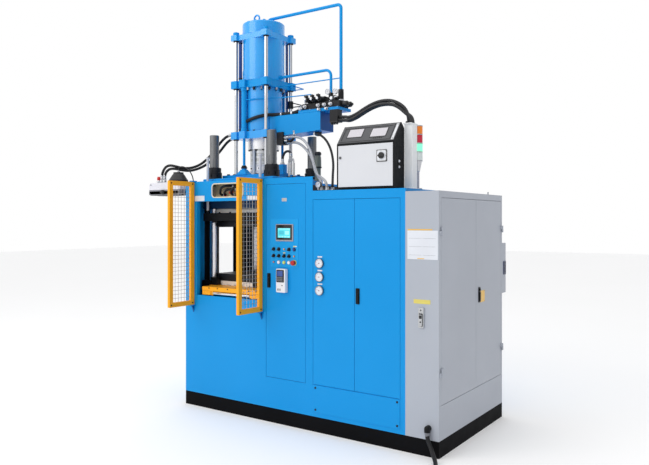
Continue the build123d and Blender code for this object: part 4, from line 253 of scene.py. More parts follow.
def fill(tree, owner, values):
    """Sets the inputs of a node; a value is a constant or a socket to link"""
    for key, value in values.items():
        if isinstance(value, bpy.types.NodeSocket):
            tree.links.new(value, owner.inputs[key])
        else:
            owner.inputs[key].default_value = value
    return owner


def node(tree, kind, values, output):
    """One output of a new node with its inputs filled"""
    return fill(tree, tree.nodes.new("ShaderNode" + kind), values).outputs[output]


def noise(tree, place, scale, detail=3.0, roughness=0.5):
    return node(tree, "TexNoise", {
        "Scale": scale, "Detail": detail, "Roughness": roughness, "Vector": place}, "Fac")


def remap(tree, value, low, high, to_low=0.0, to_high=1.0):
    return node(tree, "MapRange", {
        "Value": value, "From Min": low, "From Max": high, "To Min": to_low, "To Max": to_high}, "Result")


def mix(tree, factor, first, second):
    """Colour mix; a colour is a socket or a tuple"""
    mixer = tree.nodes.new("ShaderNodeMix")
    mixer.data_type = "RGBA"
    first, second = [(*color, 1.0) if isinstance(color, tuple) else color for color in (first, second)]
    return fill(tree, mixer, {0: factor, 6: first, 7: second}).outputs[2]


def compute(tree, operation, first, second):
    step = tree.nodes.new("ShaderNodeMath")
    step.operation = operation
    return fill(tree, step, {0: first, 1: second}).outputs[0]


def bump(tree, height, strength, distance):
    return node(tree, "Bump", {"Strength": strength, "Distance": distance, "Height": height}, "Normal")


def scaled(color, factor, lift=0.0):
    return tuple(min(1.0, value * factor + lift) for value in color)


def srgb(*channels):
    """8-bit screen colour to scene-linear"""
    values = [channel / 255.0 for channel in channels]
    return tuple(value / 12.92 if value <= 0.04045 else ((value + 0.055) / 1.055) ** 2.4 for value in values)


def zone(color, x=(None, None), y=(None, None), z=(None, None)):
    """A box of object space with its own colour; None leaves that side open"""
    return (x, y, z), color


def inside(tree, place, box):
    """1 inside a zone's box, else 0"""
    split = tree.nodes.new("ShaderNodeSeparateXYZ")
    tree.links.new(place, split.inputs[0])
    result = None
    for axis, limits in enumerate(box):
        for limit, operation in zip(limits, ("GREATER_THAN", "LESS_THAN")):
            if limit is not None:
                test = compute(tree, operation, split.outputs[axis], limit)
                result = test if result is None else compute(tree, "MULTIPLY", result, test)
    return result


def zoned(tree, place, base, zones):
    for box, color in zones:
        base = mix(tree, inside(tree, place, box), base, color)
    return base


def paint(name, color, rough=0.32, coat=0.25, depth=0.00012, zones=(), gloss=0.14):
    """Sprayed metal paint with orange peel, slight shade drift and dust"""
    material, tree, principled, place = shader(name)
    base = mix(tree, remap(tree, noise(tree, place, 1.3, 2.0), 0.3, 0.7), color, scaled(color, 1.05, 0.003))
    dust = noise(tree, place, 7.0, 5.0, 0.6)
    fill(tree, principled, {
        "Base Color": zoned(tree, place, base, zones),
        "Roughness": remap(tree, dust, 0.3, 0.75, rough, rough + 0.12),
        "Specular IOR Level": gloss,
        "Coat Weight": coat * 0.35,
        "Coat Roughness": 0.18,
        "Normal": bump(tree, noise(tree, place, 380.0, 2.0), 0.12, depth)})
    return material


def metal(name, color, rough=0.25, brushed=None, zones=()):
    """Bare metal; brushed is the axis the grain runs along, 0, 1 or 2"""
    material, tree, principled, place = shader(name)
    if brushed is None:
        fine = noise(tree, place, 240.0)
    else:
        scale = [12.0 if axis == brushed else 900.0 for axis in range(3)]
        fine = noise(tree, node(tree, "Mapping", {"Scale": scale, "Vector": place}, "Vector"), 1.0)
    stain = remap(tree, noise(tree, place, 14.0, 4.0, 0.65), 0.35, 0.7)
    fill(tree, principled, {
        "Base Color": zoned(tree, place, mix(tree, stain, color, scaled(color, 0.86)), zones),
        "Metallic": 1.0,
        "Roughness": remap(tree, fine, 0.3, 0.7, rough * 0.8, rough * 1.35),
        "Normal": bump(tree, fine, 0.1, 0.0001)})
    return material


def plastic(name, color, rough=0.38, grain=900.0, zones=(), glow=0.0, depth=0.00008):
    """Moulded plastic with a fine spark-eroded texture"""
    material, tree, principled, place = shader(name)
    base = mix(tree, remap(tree, noise(tree, place, 5.0), 0.3, 0.7), color, scaled(color, 0.94))
    base = zoned(tree, place, base, zones)
    fill(tree, principled, {
        "Base Color": base,
        "Roughness": remap(tree, noise(tree, place, 30.0), 0.3, 0.7, rough, rough + 0.08),
        "Normal": bump(tree, noise(tree, place, grain, 2.0), 0.15, depth)})
    if glow:
        fill(tree, principled, {"Emission Color": base, "Emission Strength": glow})
    return material


def floor_material():
    material, tree, principled, place = shader("studio_floor")
    fill(tree, principled, {
        "Base Color": mix(tree, noise(tree, place, 0.6), (0.9, 0.9, 0.9), (0.94, 0.94, 0.94)),
        "Roughness": 0.85,
        "Specular IOR Level": 0.1,
        "Emission Color": (1.0, 1.0, 1.0, 1.0),
        "Emission Strength": 0.1})
    return material


def rubber(name, color, rough):
    """Hose rubber with a fine moulded grain"""
    material, tree, principled, place = shader(name)
    fill(tree, principled, {
        "Base Color": mix(tree, noise(tree, place, 40.0), color, scaled(color, 1.7, 0.004)),
        "Roughness": rough,
        "Specular IOR Level": 0.22,
        "Normal": bump(tree, noise(tree, place, 700.0, 2.0), 0.2, 0.0001)})
    return material


def braided(name, color, rough, metallic):
    """Woven wire cover: two crossing sets of strands from the tube's own length and round coordinates"""
    material, tree, principled, _ = shader(name)
    uv = tree.nodes.new("ShaderNodeTexCoord").outputs["UV"]
    strands = []
    for slope in (38.0, -38.0):
        turned = node(tree, "Mapping", {
            "Rotation": (0.0, 0.0, radians(slope)), "Scale": (150.0, 10.0, 1.0), "Vector": uv}, "Vector")
        strands.append(node(tree, "TexWave", {"Scale": 1.0, "Vector": turned}, "Fac"))
    weave = compute(tree, "MAXIMUM", *strands)
    fill(tree, principled, {
        "Base Color": mix(tree, weave, scaled(color, 0.35), color),
        "Metallic": metallic,
        "Roughness": rough,
        "Normal": bump(tree, weave, 0.5, 0.0006)})
    return material


def label_finish(name, *channels, rough=0.3):
    return plastic(name, srgb(*channels), rough=rough, grain=1500.0)


def screen_finish(name, color, rough=0.12, glow=0.3):
    return plastic(name, color, rough=rough, grain=40.0, glow=glow, depth=0.00002)


BLUE = (0.002, 0.288, 0.7)
BLUE_LIGHT = (0.008, 0.335, 0.765)
NAVY = (0.01, 0.04, 0.105)
GREY = (0.425, 0.452, 0.505)
BLACK = (0.006, 0.007, 0.008)
BLACK_PLASTIC = (0.012, 0.012, 0.013)
ORANGE = (1.0, 0.415, 0.018)
CHROME = (0.8, 0.81, 0.83)
PALE = (0.86, 0.84, 0.79)
WIRE = (0.52, 0.46, 0.42)

blue_paint = paint("blue_paint", BLUE)
blue_gloss = paint("blue_gloss", (0.012, 0.335, 0.8), rough=0.16, coat=1.2, gloss=0.5)
grey_paint = paint("grey_paint", GREY, rough=0.36)
black_paint = paint("black_paint", BLACK, rough=0.42, coat=0.1, gloss=0.1)
plinth_paint = paint("plinth_paint", (0.003, 0.003, 0.004), rough=0.55, coat=0.0, depth=0.0003, gloss=0.05)
orange_paint = paint("orange_paint", ORANGE, rough=0.35)
navy_paint = paint("navy_paint", NAVY)
white_paint = paint("white_paint", (0.66, 0.67, 0.7), rough=0.34)
chrome = metal("chrome", CHROME, rough=0.08)
steel = metal("steel", (0.56, 0.57, 0.58), rough=0.3, brushed=0)
dark_steel = metal("dark_steel", (0.045, 0.046, 0.05), rough=0.42)
zinc = metal("zinc", (0.63, 0.64, 0.66), rough=0.34)
brass = metal("brass", (0.8, 0.53, 0.2), rough=0.3)
black_plastic = plastic("black_plastic", BLACK_PLASTIC)
white_plastic = plastic("white_plastic", srgb(236, 236, 240))
grey_plastic = plastic("grey_plastic", srgb(120, 122, 128))
red_plastic = plastic("red_plastic", srgb(186, 22, 24), rough=0.22)
hose_rubber = rubber("hose_rubber", (0.012, 0.012, 0.014), 0.5)
cable_jacket = rubber("cable_jacket", (0.01, 0.01, 0.011), 0.46)
conduit_plastic = plastic("conduit_plastic", (0.013, 0.013, 0.015), rough=0.42)
braid = braided("braid", (0.56, 0.57, 0.6), 0.4, 0.35)
core_plastics = [plastic("core_" + name, color) for name, color in (
    ("brown", (0.1, 0.035, 0.012)), ("black", (0.012, 0.012, 0.012)), ("grey", (0.2, 0.2, 0.21)),
    ("earth", (0.16, 0.36, 0.03)))]
mesh_wire = metal("mesh_wire", WIRE, rough=0.42)
beige_plate = plastic("beige_plate", srgb(232, 205, 158), rough=0.5, grain=120.0)
label_white = label_finish("label_white", 226, 229, 236)
label_yellow = label_finish("label_yellow", 222, 206, 104)
label_amber = label_finish("label_amber", 236, 190, 92)
label_blue = label_finish("label_blue", 60, 72, 110, rough=0.35)
glass_black = screen_finish("glass_black", (0.01, 0.011, 0.014), rough=0.09, glow=0.0)
screen_cyan = screen_finish("screen_cyan", srgb(84, 214, 226))
screen_mint = screen_finish("screen_mint", srgb(150, 232, 236))
screen_teal = screen_finish("screen_teal", srgb(66, 186, 206))
screen_pale = screen_finish("screen_pale", srgb(200, 197, 203), rough=0.2, glow=0.04)
screen_blue = screen_finish("screen_blue", srgb(58, 84, 150), glow=0.15)
needle_red = plastic("needle_red", srgb(200, 30, 24), rough=0.4)
navy_gloss = paint("navy_gloss", srgb(30, 62, 124))
grey_frame = plastic("grey_frame", srgb(74, 75, 78), rough=0.4, grain=500.0)
duct_white = paint("duct_white", (0.84, 0.86, 0.87), rough=0.38)
lamp_green = plastic("lamp_green", srgb(120, 240, 180), rough=0.2, glow=0.9)
tower_silver = metal("tower_silver", (0.6, 0.61, 0.64), rough=0.3)
tower_clear = plastic("tower_clear", srgb(222, 232, 230), rough=0.2)
white_metal = plastic("white_metal", srgb(214, 214, 218), rough=0.25, grain=300.0)
tank_green = plastic("tank_green", srgb(112, 118, 110), rough=0.32, grain=260.0)


def switch_zones():
    """Cap colours of the switches on the operator plate, from the cells of their rows and columns"""
    columns = (-0.22, -0.167, -0.113, -0.063, -0.012)
    rows = (1.414, 1.36, 1.308)
    silver, white, green_yellow = (0.42, 0.42, 0.44), srgb(240, 240, 244), srgb(206, 222, 96)
    blue, amber, orange = srgb(24, 50, 130), srgb(224, 150, 66), srgb(216, 118, 60)
    caps = {(0, 4): blue, (0, 2): amber, (1, 4): amber, (2, 0): orange, (2, 1): white, (2, 2): green_yellow,
            (2, 3): white}
    cap, ring = 0.0115, 0.0155
    zones = []
    for (row, column), color in caps.items():
        x, z = columns[column], rows[row]
        if row == 2 and column:
            zones.append(zone(silver, x=(x - ring, x + ring), y=(None, -0.6172), z=(z - ring, z + ring)))
        zones.append(zone(color, x=(x - cap, x + cap), y=(None, -0.6221), z=(z - cap, z + cap)))
    return zones


def guard_paint(name, low, high):
    """Orange tube frame, with the bare wires of the mesh in a thin layer between low and high"""
    return paint(name, ORANGE, rough=0.35, zones=[
        zone(WIRE, x=(low, high), y=(-0.8695, -0.6605), z=(0.9375, 1.9475))])


# Finish of each carried-over node
NODE_FINISH = {
    "tie_bars": metal("column_steel", (0.23, 0.235, 0.24), rough=0.3, brushed=2,
                      zones=[zone((0.92, 0.92, 0.95), z=(None, 1.751))]),
    "upper_platen": paint("platen_blue", BLUE, zones=[
        zone(NAVY, y=(None, -0.4), z=(None, 1.992)), zone(NAVY, z=(None, 1.78))]),
    "upper_heating_plate": paint("heating_plate_pale", PALE, rough=0.45, coat=0.0),
    "lower_heating_plate": paint("heating_plate_pale_lower", PALE, rough=0.45, coat=0.0),
    "slide_table": paint("table_orange", ORANGE, rough=0.35, zones=[
        zone(BLACK, z=(1.063, None))]),
    "lift_frame": paint("lift_black", BLACK, rough=0.42, coat=0.1, zones=[
        zone((0.6, 0.6, 0.63), z=(1.735, None))]),
    "press_enclosure": paint("casing_blue", BLUE, zones=[
        # painted shade: the inside walls of the casing behind the front opening are coloured near black for the shade
        # inside the press
        zone((0.011, 0.013, 0.02), x=(-1.2385, -0.336), y=(-0.385, 0.6135), z=(0.2, 1.97)),
        zone(srgb(226, 214, 186), x=(-0.92, -0.55), y=(None, -0.6152), z=(1.84, 1.969)),
        # hinge brackets under the guards: real brackets, coloured darker blue as painted shadow of the guard doors
        *[zone((0.004, 0.1, 0.33), x=(x, x + 0.05), y=(None, -0.616), z=(0.8, 0.8905))
          for x in (-1.165, -0.376)]]),
    "guard_left": guard_paint("guard_orange_left", -1.1417, -1.1383),
    "guard_right": guard_paint("guard_orange_right", -0.3527, -0.3493),
    "control_door": paint("control_door_blue", BLUE, zones=[
        zone(BLUE_LIGHT, x=(-0.255, 0.028), y=(None, -0.6162), z=(1.269, 1.66)),
        zone(BLACK, x=(-0.289, -0.255), y=(None, -0.6153), z=(1.094, 1.218))]),
    "hmi": plastic("hmi_silver", srgb(160, 158, 166), rough=0.34),
    "control_switches": plastic("switch_black", BLACK_PLASTIC, zones=switch_zones()),
    "hydraulic_cabinet": paint("hydraulic_blue", BLUE, zones=[
        zone(BLUE_LIGHT, x=(0.17, 0.976), y=(None, -0.6152), z=(0.118, 0.1515))]),
    "cabinet_door_right": paint("door_blue", BLUE, zones=[
        zone(BLACK, x=(0.565, 0.599), y=(None, -0.6153), z=(1.021, 1.141))]),
    "pressure_gauges": metal("gauge_steel", (0.28, 0.29, 0.32), rough=0.32),
    "electrical_cabinet": paint("cabinet_grey", GREY, rough=0.36, zones=[
        zone(BLACK, x=(1.12, 1.205), y=(None, -0.6153), z=(0.15, 0.24))]),
    "side_door_rear": paint("side_door_grey", GREY, rough=0.36, zones=[
        zone(BLACK, x=(1.2403, None), y=(0.092, 0.126), z=(1.003, 1.133))]),
    "electrical_panel": paint("panel_zinc", (0.5, 0.52, 0.54), rough=0.35, coat=0.0, zones=[
        zone((0.03, 0.032, 0.036), x=(1.0125, None)),
        *[zone((0.56, 0.56, 0.53), x=(1.0125, None), z=(z, z + 0.16)) for z in (0.72, 1.2)],
        *[zone((0.6, 0.61, 0.62), x=(1.0855, None), z=(z, z + 0.015)) for z in (0.555, 1.035, 1.515)]]),
    "signal_tower": plastic("tower_colours", srgb(176, 178, 190), rough=0.22, grain=120.0, zones=[
        zone(srgb(224, 234, 232), z=(2.089, 2.155)),
        zone(srgb(70, 226, 150), z=(2.155, 2.221)),
        zone(srgb(206, 40, 66), z=(2.221, 2.286)),
        zone(srgb(246, 138, 44), z=(2.286, None))]),
    "side_unit": plastic("side_unit_plastic", srgb(222, 222, 230), zones=[
        zone(srgb(128, 128, 136), z=(None, 1.928)),
        zone(BLACK_PLASTIC, x=(-1.4805, -1.3), z=(1.9955, None)),
        zone(srgb(150, 152, 160), x=(None, -1.5), z=(1.9955, None))]),
    "guide_rods": metal("rod_chrome", CHROME, rough=0.08, zones=[
        zone((0.01, 0.15, 0.4), z=(3.3495, None))]),
    "nozzle_barrel": metal("barrel_steel", (0.8, 0.8, 0.82), rough=0.3, zones=[
        zone((0.46, 0.47, 0.46), z=(2.161, 2.2965))]),
    "lift_rods": paint("rod_blue", BLUE, rough=0.2, zones=[
        zone((0.62, 0.63, 0.65), x=(-0.83, -0.77), y=(-0.21, -0.17))]),
    # painted shade: the beam's +X end is coloured dark blue for the shade on that face
    "beam_arm": paint("beam_blue", BLUE, zones=[zone((0.004, 0.085, 0.29), x=(-0.0836, None))]),
    "valve_manifold": paint("manifold_black", (0.016, 0.016, 0.018), rough=0.38, zones=[
        zone(BLUE, z=(2.5845, 2.6075))]),
}
for finish, names in (
        (plinth_paint, "base_frame"),
        (navy_paint, "press_bed clamp_cylinder lower_platen oil_tank pump_motor"),
        (chrome, "clamp_ram injection_plunger"),
        (dark_steel, "tie_bar_nuts upper_adapter_plate lower_adapter_plate"),
        (blue_paint, "control_column cabinet_door_left injection_base_plate mid_plate lift_cylinders "
                     "hydraulic_pipes eyebolt"),
        (white_plastic, "handset"),
        (red_plastic, "emergency_stop"),
        (grey_paint, "side_door_front cooling_unit"),
        (black_paint, "console_housing"),
        (white_paint, "console_door"),
        (black_plastic, "main_switch"),
        (duct_white, "cable_duct"),
        (blue_gloss, "cylinder_head injection_cylinder plasticizing_body"),
        (hose_rubber, "supply_coil supply_cable conduit_bundle side_hoses grey_hoses drop_hose")):
    NODE_FINISH.update(dict.fromkeys(names.split(), finish))


def dress_nodes():
    for name, material in NODE_FINISH.items():
        obj = NODES[name]
        if not obj.data.materials:
            obj.data.materials.append(None)
        for slot in obj.material_slots:
            slot.material = material
        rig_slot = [part["material_slot"] for part in frame["record"]["subparts"] if part["node"] == name]
        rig.slot(obj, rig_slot[0])


# Mesh building
AXES = {"X": (1, 0, 0), "Y": (0, 1, 0), "Z": (0, 0, 1), "-X": (-1, 0, 0), "-Y": (0, -1, 0), "-Z": (0, 0, -1)}


def in_metres(numbers, size):
    """Groups of so many numbers, from a flat row of millimetres"""
    return list(zip(*[iter([number / 1000 for number in numbers])] * size))


def outline_mm(*numbers):
    return in_metres(numbers, 2)


def route_mm(*numbers):
    return in_metres(numbers, 3)


def circle(x, y, radius, angle):
    return x + radius * cos(angle), y + radius * sin(angle)


class Shape:
    """Collects simple solids into one mesh, each in the material slot set by use()"""

    def __init__(self, *materials):
        self.bm = bmesh.new()
        self.materials = materials
        self.index = 0

    def use(self, index):
        self.index = index
        return self

    def face(self, verts):
        made = self.bm.faces.new(verts)
        made.material_index = self.index
        return made

    def ring(self, centre, side, other, radius, segments, turn=0.0):
        """Points round a circle in the plane of two directions"""
        return [self.bm.verts.new(centre + (side * cos(angle) + other * sin(angle)) * radius)
                for angle in [2 * pi * step / segments + turn for step in range(segments)]]

    def skin(self, first, second):
        """Faces between two rings, either of which can be a single point"""
        count = max(len(first), len(second))
        made = []
        for step in range(count if count > 1 else 0):
            after = (step + 1) % count
            near = first if len(first) == 1 else [first[step], first[after]]
            far = second if len(second) == 1 else [second[after], second[step]]
            made.append(self.face(near + far))
        return made

    def lathe(self, origin, axis, outline, segments=32, turn=0.0):
        """Turned solid: outline is (radius, distance along the axis) from end to end"""
        axis = Vector(AXES[axis] if isinstance(axis, str) else axis).normalized()
        side = axis.orthogonal().normalized()
        rings = []
        for radius, along in outline:
            centre = Vector(origin) + axis * along
            rings.append([self.bm.verts.new(centre)] if radius < 1e-7 else
                         self.ring(centre, side, axis.cross(side), radius, segments, turn))
        for first, second in zip(rings, rings[1:]):
            self.skin(first, second)
        return self

    def turned(self, origin, axis, segments, *outline):
        """Turned solid from a flat outline in mm: radius, distance, radius, distance ..."""
        return self.lathe(origin, axis, outline_mm(*outline), segments)

    def rod(self, start, end, radius, segments=24, tip=None):
        """Straight round bar between two points; tip is the radius at the end"""
        way = Vector(end) - Vector(start)
        last = radius if tip is None else tip
        return self.lathe(start, way, [(0, 0), (radius, 0), (last, way.length), (0, way.length)], segments)

    def nut(self, origin, axis, flats, height, turn=0.0):
        """Hexagon with its corners turned off"""
        radius = flats / sqrt(3)
        cut = flats * 0.12
        return self.lathe(origin, axis, [(0, 0), (radius, 0), (radius, height - cut * 0.5),
                                         (radius - cut, height), (0, height)], 6, turn)

    def socket_screw(self, origin, axis, radius, height):
        """Cylinder head screw with its hexagon socket"""
        return self.lathe(origin, axis, [
            (0, 0), (radius, 0), (radius, height * 0.88), (radius * 0.9, height),
            (radius * 0.55, height), (radius * 0.5, height * 0.45), (0, height * 0.45)], 18)

    def prism(self, outline, axis, low, high):
        """Extrudes an outline of (a, b) points along X, Y or Z; a and b are the other two axes in order"""
        def end(depth):
            at = "XYZ".index(axis)
            return [self.bm.verts.new((*point[:at], depth, *point[at:])) for point in outline]
        first, second = end(low), end(high)
        self.face(first)
        self.face(second[::-1])
        for step in range(len(outline)):
            after = (step + 1) % len(outline)
            self.face((first[step], second[step], second[after], first[after]))
        return self

    def box(self, low, high):
        outline = [(low[0], low[1]), (high[0], low[1]), (high[0], high[1]), (low[0], high[1])]
        return self.prism(outline, "Z", low[2], high[2])

    def panel(self, axis, low, high, corner, segments=4):
        """Thin plate with rounded corners, flat across the given axis"""
        index = "XYZ".index(axis)
        (a0, a1), (b0, b1) = [(low[flat], high[flat]) for flat in range(3) if flat != index]
        outline = []
        for a, b, start in ((a1 - corner, b1 - corner, 0), (a0 + corner, b1 - corner, 90),
                            (a0 + corner, b0 + corner, 180), (a1 - corner, b0 + corner, 270)):
            outline += [circle(a, b, corner, radians(start + 90 * step / segments))
                        for step in range(segments + 1)]
        return self.prism(outline, axis, low[index], high[index])

    def panels(self, axis, *rows):
        """Plates from rows in mm: slot, then the low corner, the high corner and the corners' radius"""
        for slot, *numbers in rows:
            low, high = route_mm(*numbers[:6])
            self.use(slot).panel(axis, low, high, numbers[6] / 1000)
        return self

    def tube(self, path, radius, segments=16):
        """Round tube along close points; radius is a number or a function of the length so far"""
        uv = self.bm.loops.layers.uv.verify()
        rings = []
        lengths = [0.0]
        side = None
        for index, point in enumerate(path):
            if index:
                lengths.append(lengths[-1] + (point - path[index - 1]).length)
            along = (path[min(index + 1, len(path) - 1)] - path[max(index - 1, 0)]).normalized()
            side = along.orthogonal() if side is None else side - along * side.dot(along)
            side.normalize()
            size = radius(lengths[-1]) if callable(radius) else radius
            rings.append(self.ring(point, side, along.cross(side), size, segments))
        for row, (first, second) in enumerate(zip(rings, rings[1:])):
            near, far = lengths[row:row + 2]
            for step, made in enumerate(self.skin(first, second)):
                low, high = step / segments, (step + 1) / segments
                for loop, place in zip(made.loops, ((near, low), (near, high), (far, high), (far, low))):
                    loop[uv].uv = place
        self.face(rings[0][::-1])
        self.face(rings[-1])
        return self

    def loop(self, path, radius, segments=14):
        """Round ring along a closed flat path"""
        centre = sum(path, Vector()) / len(path)
        normal = (path[0] - centre).cross(path[len(path) // 4] - centre).normalized()
        rings = [self.ring(point, (point - centre).normalized(), normal, radius, segments) for point in path]
        for first, second in zip(rings, rings[1:] + rings[:1]):
            self.skin(first, second)
        return self

    def make(self, name, body, bevel=0.0):
        """Turns the collected solids into an object that rides on a body"""
        bmesh.ops.recalc_face_normals(self.bm, faces=self.bm.faces)
        for edge in self.bm.edges:
            if len(edge.link_faces) == 2 and edge.calc_face_angle() > radians(35.0):
                edge.smooth = False
        for made in self.bm.faces:
            made.smooth = True
        mesh = bpy.data.meshes.new(name)
        self.bm.to_mesh(mesh)
        self.bm.free()
        for material in self.materials:
            mesh.materials.append(material)
        obj = add_object(name, mesh)
        if bevel:
            modifier = obj.modifiers.new("edge_round", "BEVEL")
            modifier.width = bevel
            modifier.segments = 2
            modifier.limit_method = "ANGLE"
            modifier.harden_normals = True
        if body:
            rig.ride(obj, body)
        return obj


# Hoses and cables: smooth open splines through given points
def spline_curve(name, points, thickness=0.0):
    data = bpy.data.curves.new(name, "CURVE")
    data.dimensions = "3D"
    data.resolution_u = 12
    data.bevel_depth = thickness
    data.bevel_resolution = 6
    data.use_fill_caps = True
    spline = data.splines.new("NURBS")
    spline.points.add(len(points) - 1)
    for control, place in zip(spline.points, points):
        control.co = (*place, 1.0)
    spline.order_u = 3
    spline.use_endpoint_u = True
    return add_object(name, data)


def spline_path(name, points):
    """The close points of the smooth spline, and its length"""
    guide = spline_curve(name, points)
    bpy.context.view_layer.update()
    mesh = bpy.data.meshes.new_from_object(guide)
    path = [vertex.co.copy() for vertex in mesh.vertices]
    bpy.data.objects.remove(guide)
    return path, sum((after - before).length for before, after in zip(path, path[1:]))


def even_steps(path, step):
    """Points a fixed distance apart along a path"""
    result = [path[0].copy()]
    left = step
    for before, after in zip(path, path[1:]):
        run = (after - before).length
        place = 0.0
        while run - place >= left:
            place += left
            result.append(before.lerp(after, place / run))
            left = step
        left -= run - place
    if (result[-1] - path[-1]).length > step * 0.3:
        result.append(path[-1].copy())
    return result


def ribbed(radius, pitch, depth):
    """Radius along a corrugated conduit"""
    return lambda travelled: radius - depth * (0.5 + 0.5 * cos(2 * pi * travelled / pitch))


def end_sleeve(name, at, direction, radius, body, length=0.045):
    """Crimped ferrule with a hexagon, pushed on a hose end; direction points out of the hose"""
    at, direction = Vector(at), Vector(direction).normalized()
    shape = Shape(zinc)
    shape.lathe(at, direction, [(radius * wide, -length * back) for wide, back in (
        (0, 1), (1.06, 1), (1.22, 0.92), (1.22, 0.6), (1.12, 0.55), (1.22, 0.5), (1.22, 0.2), (0.9, 0.12),
        (0.9, 0), (0, 0))], 20)
    shape.nut(at - direction * length * 0.14, direction, radius * 2.3, length * 0.3)
    return shape.make(name, body)


def hose_piece(name, points, radius, node_name, material, bend, pitch=None):
    """Hose as a mesh tube on its spline; bend is its fixed end and its end at the injection unit"""
    path, length = spline_path(name + "_line", points)
    if pitch:
        path = even_steps(path, pitch / 4)
    size = ribbed(radius, pitch, radius * 0.1) if pitch else radius
    obj = Shape(material).tube(path, size).make(name, None)
    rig.replaces(obj, node_name)
    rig.slot(obj, "hose_rubber")
    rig.blend(obj, "root", "injection", bend[0], bend[1])
    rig.cord(obj, exit=points[0], length=length, diameter=2 * radius, far_end="object", stiffness="medium",
            lay="loose", path=path)
    return obj


CONDUIT_ROUTE = route_mm(
    100, -130, 2505, 152, -130, 2505, 222, -178, 2486, 310, -212, 2498, 410, -252, 2528, 520, -295, 2554,
    630, -335, 2562, 735, -368, 2548, 820, -392, 2508, 876, -404, 2460, 914, -410, 2408, 914, -410, 2360)
CONDUIT_OFFSETS = outline_mm(-15, -14, 15, -14, 0, 14)
CONDUIT_R = 0.013
SIDE_ROUTES = [
    route_mm(
        -1016, -245, 2435, -1062, -245, 2435, -1118, -250, 2410, -1172, -262, 2355, -1222, -285, 2285,
        -1270, -320, 2216, -1320, -368, 2162, -1372, -424, 2134, -1424, -476, 2132, -1472, -520, 2148,
        -1518, -548, 2160, -1562, -560, 2148, -1598, -560, 2114, -1618, -560, 2070, -1618, -560, 2025),
    route_mm(
        -1016, -215, 2403, -1062, -215, 2403, -1114, -222, 2370, -1166, -240, 2304, -1216, -272, 2234,
        -1268, -318, 2172, -1322, -372, 2130, -1378, -428, 2108, -1432, -480, 2112, -1482, -522, 2128,
        -1526, -548, 2126, -1560, -559, 2100, -1578, -560, 2062, -1578, -560, 2025),
]
SIDE_HOSE_R = 0.012
GREY_ROUTES = [
    route_mm(
        -480, -125, 2340, -430, -125, 2340, -350, -145, 2335, -275, -165, 2305, -205, -187, 2255,
        -134, -218, 2190, -75, -262, 2122, -16, -318, 2058, 48, -378, 2010, 108, -440, 1984, 160, -500, 1966,
        191, -538, 1938, 198, -546, 1908, 198, -546, 1875),
    route_mm(
        -480, -150, 2385, -425, -150, 2385, -345, -160, 2382, -270, -175, 2362, -205, -192, 2315,
        -150, -212, 2250, -100, -247, 2175, -45, -302, 2098, 18, -365, 2040, 86, -424, 2006, 156, -474, 1986,
        212, -509, 1960, 236, -521, 1925, 238, -522, 1900, 238, -522, 1875),
]
GREY_HOSE_R = 0.011
DROP_ROUTE = route_mm(
    -170, -80, 2400, -170, -118, 2400, -120, -150, 2394, -58, -166, 2368, 2, -180, 2320, 58, -203, 2246,
    102, -238, 2165, 140, -285, 2092, 172, -340, 2030, 205, -392, 1982, 230, -430, 1940, 238, -446, 1905,
    238, -446, 1875)
DROP_HOSE_R = 0.01
SUPPLY_ROUTE = route_mm(
    1163, -640, 178, 1163, -640, 146, 1178, -647, 112, 1204, -662, 77, 1232, -688, 46, 1264, -725, 25,
    1292, -775, 15.8, 1312, -838, 15.5, 1322, -905, 15.5, 1324.5, -975, 15.5)
CABLE_R = 0.015
COIL_CENTRE = (1.505, -1.04)
COIL_TURNS = 3.55
COIL_STEPS = 16


def coil_points():
    """Control points of the wound cable: two turns on the floor, then the rest on top of them"""
    points = []
    pull = 1 / (0.75 + 0.25 * cos(2 * pi / COIL_STEPS))
    for step in range(int(COIL_TURNS * COIL_STEPS) + 1):
        turns = step / COIL_STEPS
        inwards, outwards, rise = [min(max((turns - start) / run, 0.0), 1.0) for start, run in (
            (0.86, 0.14), (2.55, 0.15), (1.62, 0.2))]
        radius = 0.1805 - 0.0305 * inwards + 0.0305 * outwards
        height = 0.0155 + 0.03 * rise * rise * (3 - 2 * rise)
        angle = pi + 2 * pi * turns
        points.append((*circle(*COIL_CENTRE, radius * pull, angle), height))
    return points


def add_supply_cable():
    points = SUPPLY_ROUTE + coil_points()
    cable = spline_curve("mains_cable", points, CABLE_R)
    cable.data.materials.append(cable_jacket)
    path, length = spline_path("mains_cable_line", points)
    tip, back = path[-1], path[-3]
    out = (tip - back).normalized()
    cores = Shape(*core_plastics, zinc)
    for index in range(4):
        angle = pi / 2 * index + 0.4
        aside = Vector((-out.y, out.x, 0)) * cos(angle) * 0.0062 + Vector((0, 0, 1)) * sin(angle) * 0.0062
        spread = aside * 0.35
        start, end = tip + aside - out * 0.004, tip + aside + spread + out * 0.052
        cores.use(index).rod(start, end, 0.0042, 14)
        cores.use(4).rod(end - out * 0.002, end + out * 0.014, 0.003, 12)
    tails = cores.make("mains_cable_cores", "root")
    gland = Shape(grey_plastic)
    gland.turned((1.163, -0.64, 0.178), "-Z", 24, 0, -2, 20.5, -2, 20.5, 4, 18.5, 10, 16, 22, 15.6, 26, 0, 26)
    gland_piece = gland.make("mains_cable_relief", "root")
    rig.ride(cable, "root")
    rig.replaces(cable, "supply_cable", "supply_coil")
    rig.slot(cable, "hose_rubber")
    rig.cord(cable, exit=SUPPLY_ROUTE[0], length=length, diameter=2 * CABLE_R, far_end="bare",
            stiffness="stiff", lay="coiled", with_pieces=[tails, gland_piece])


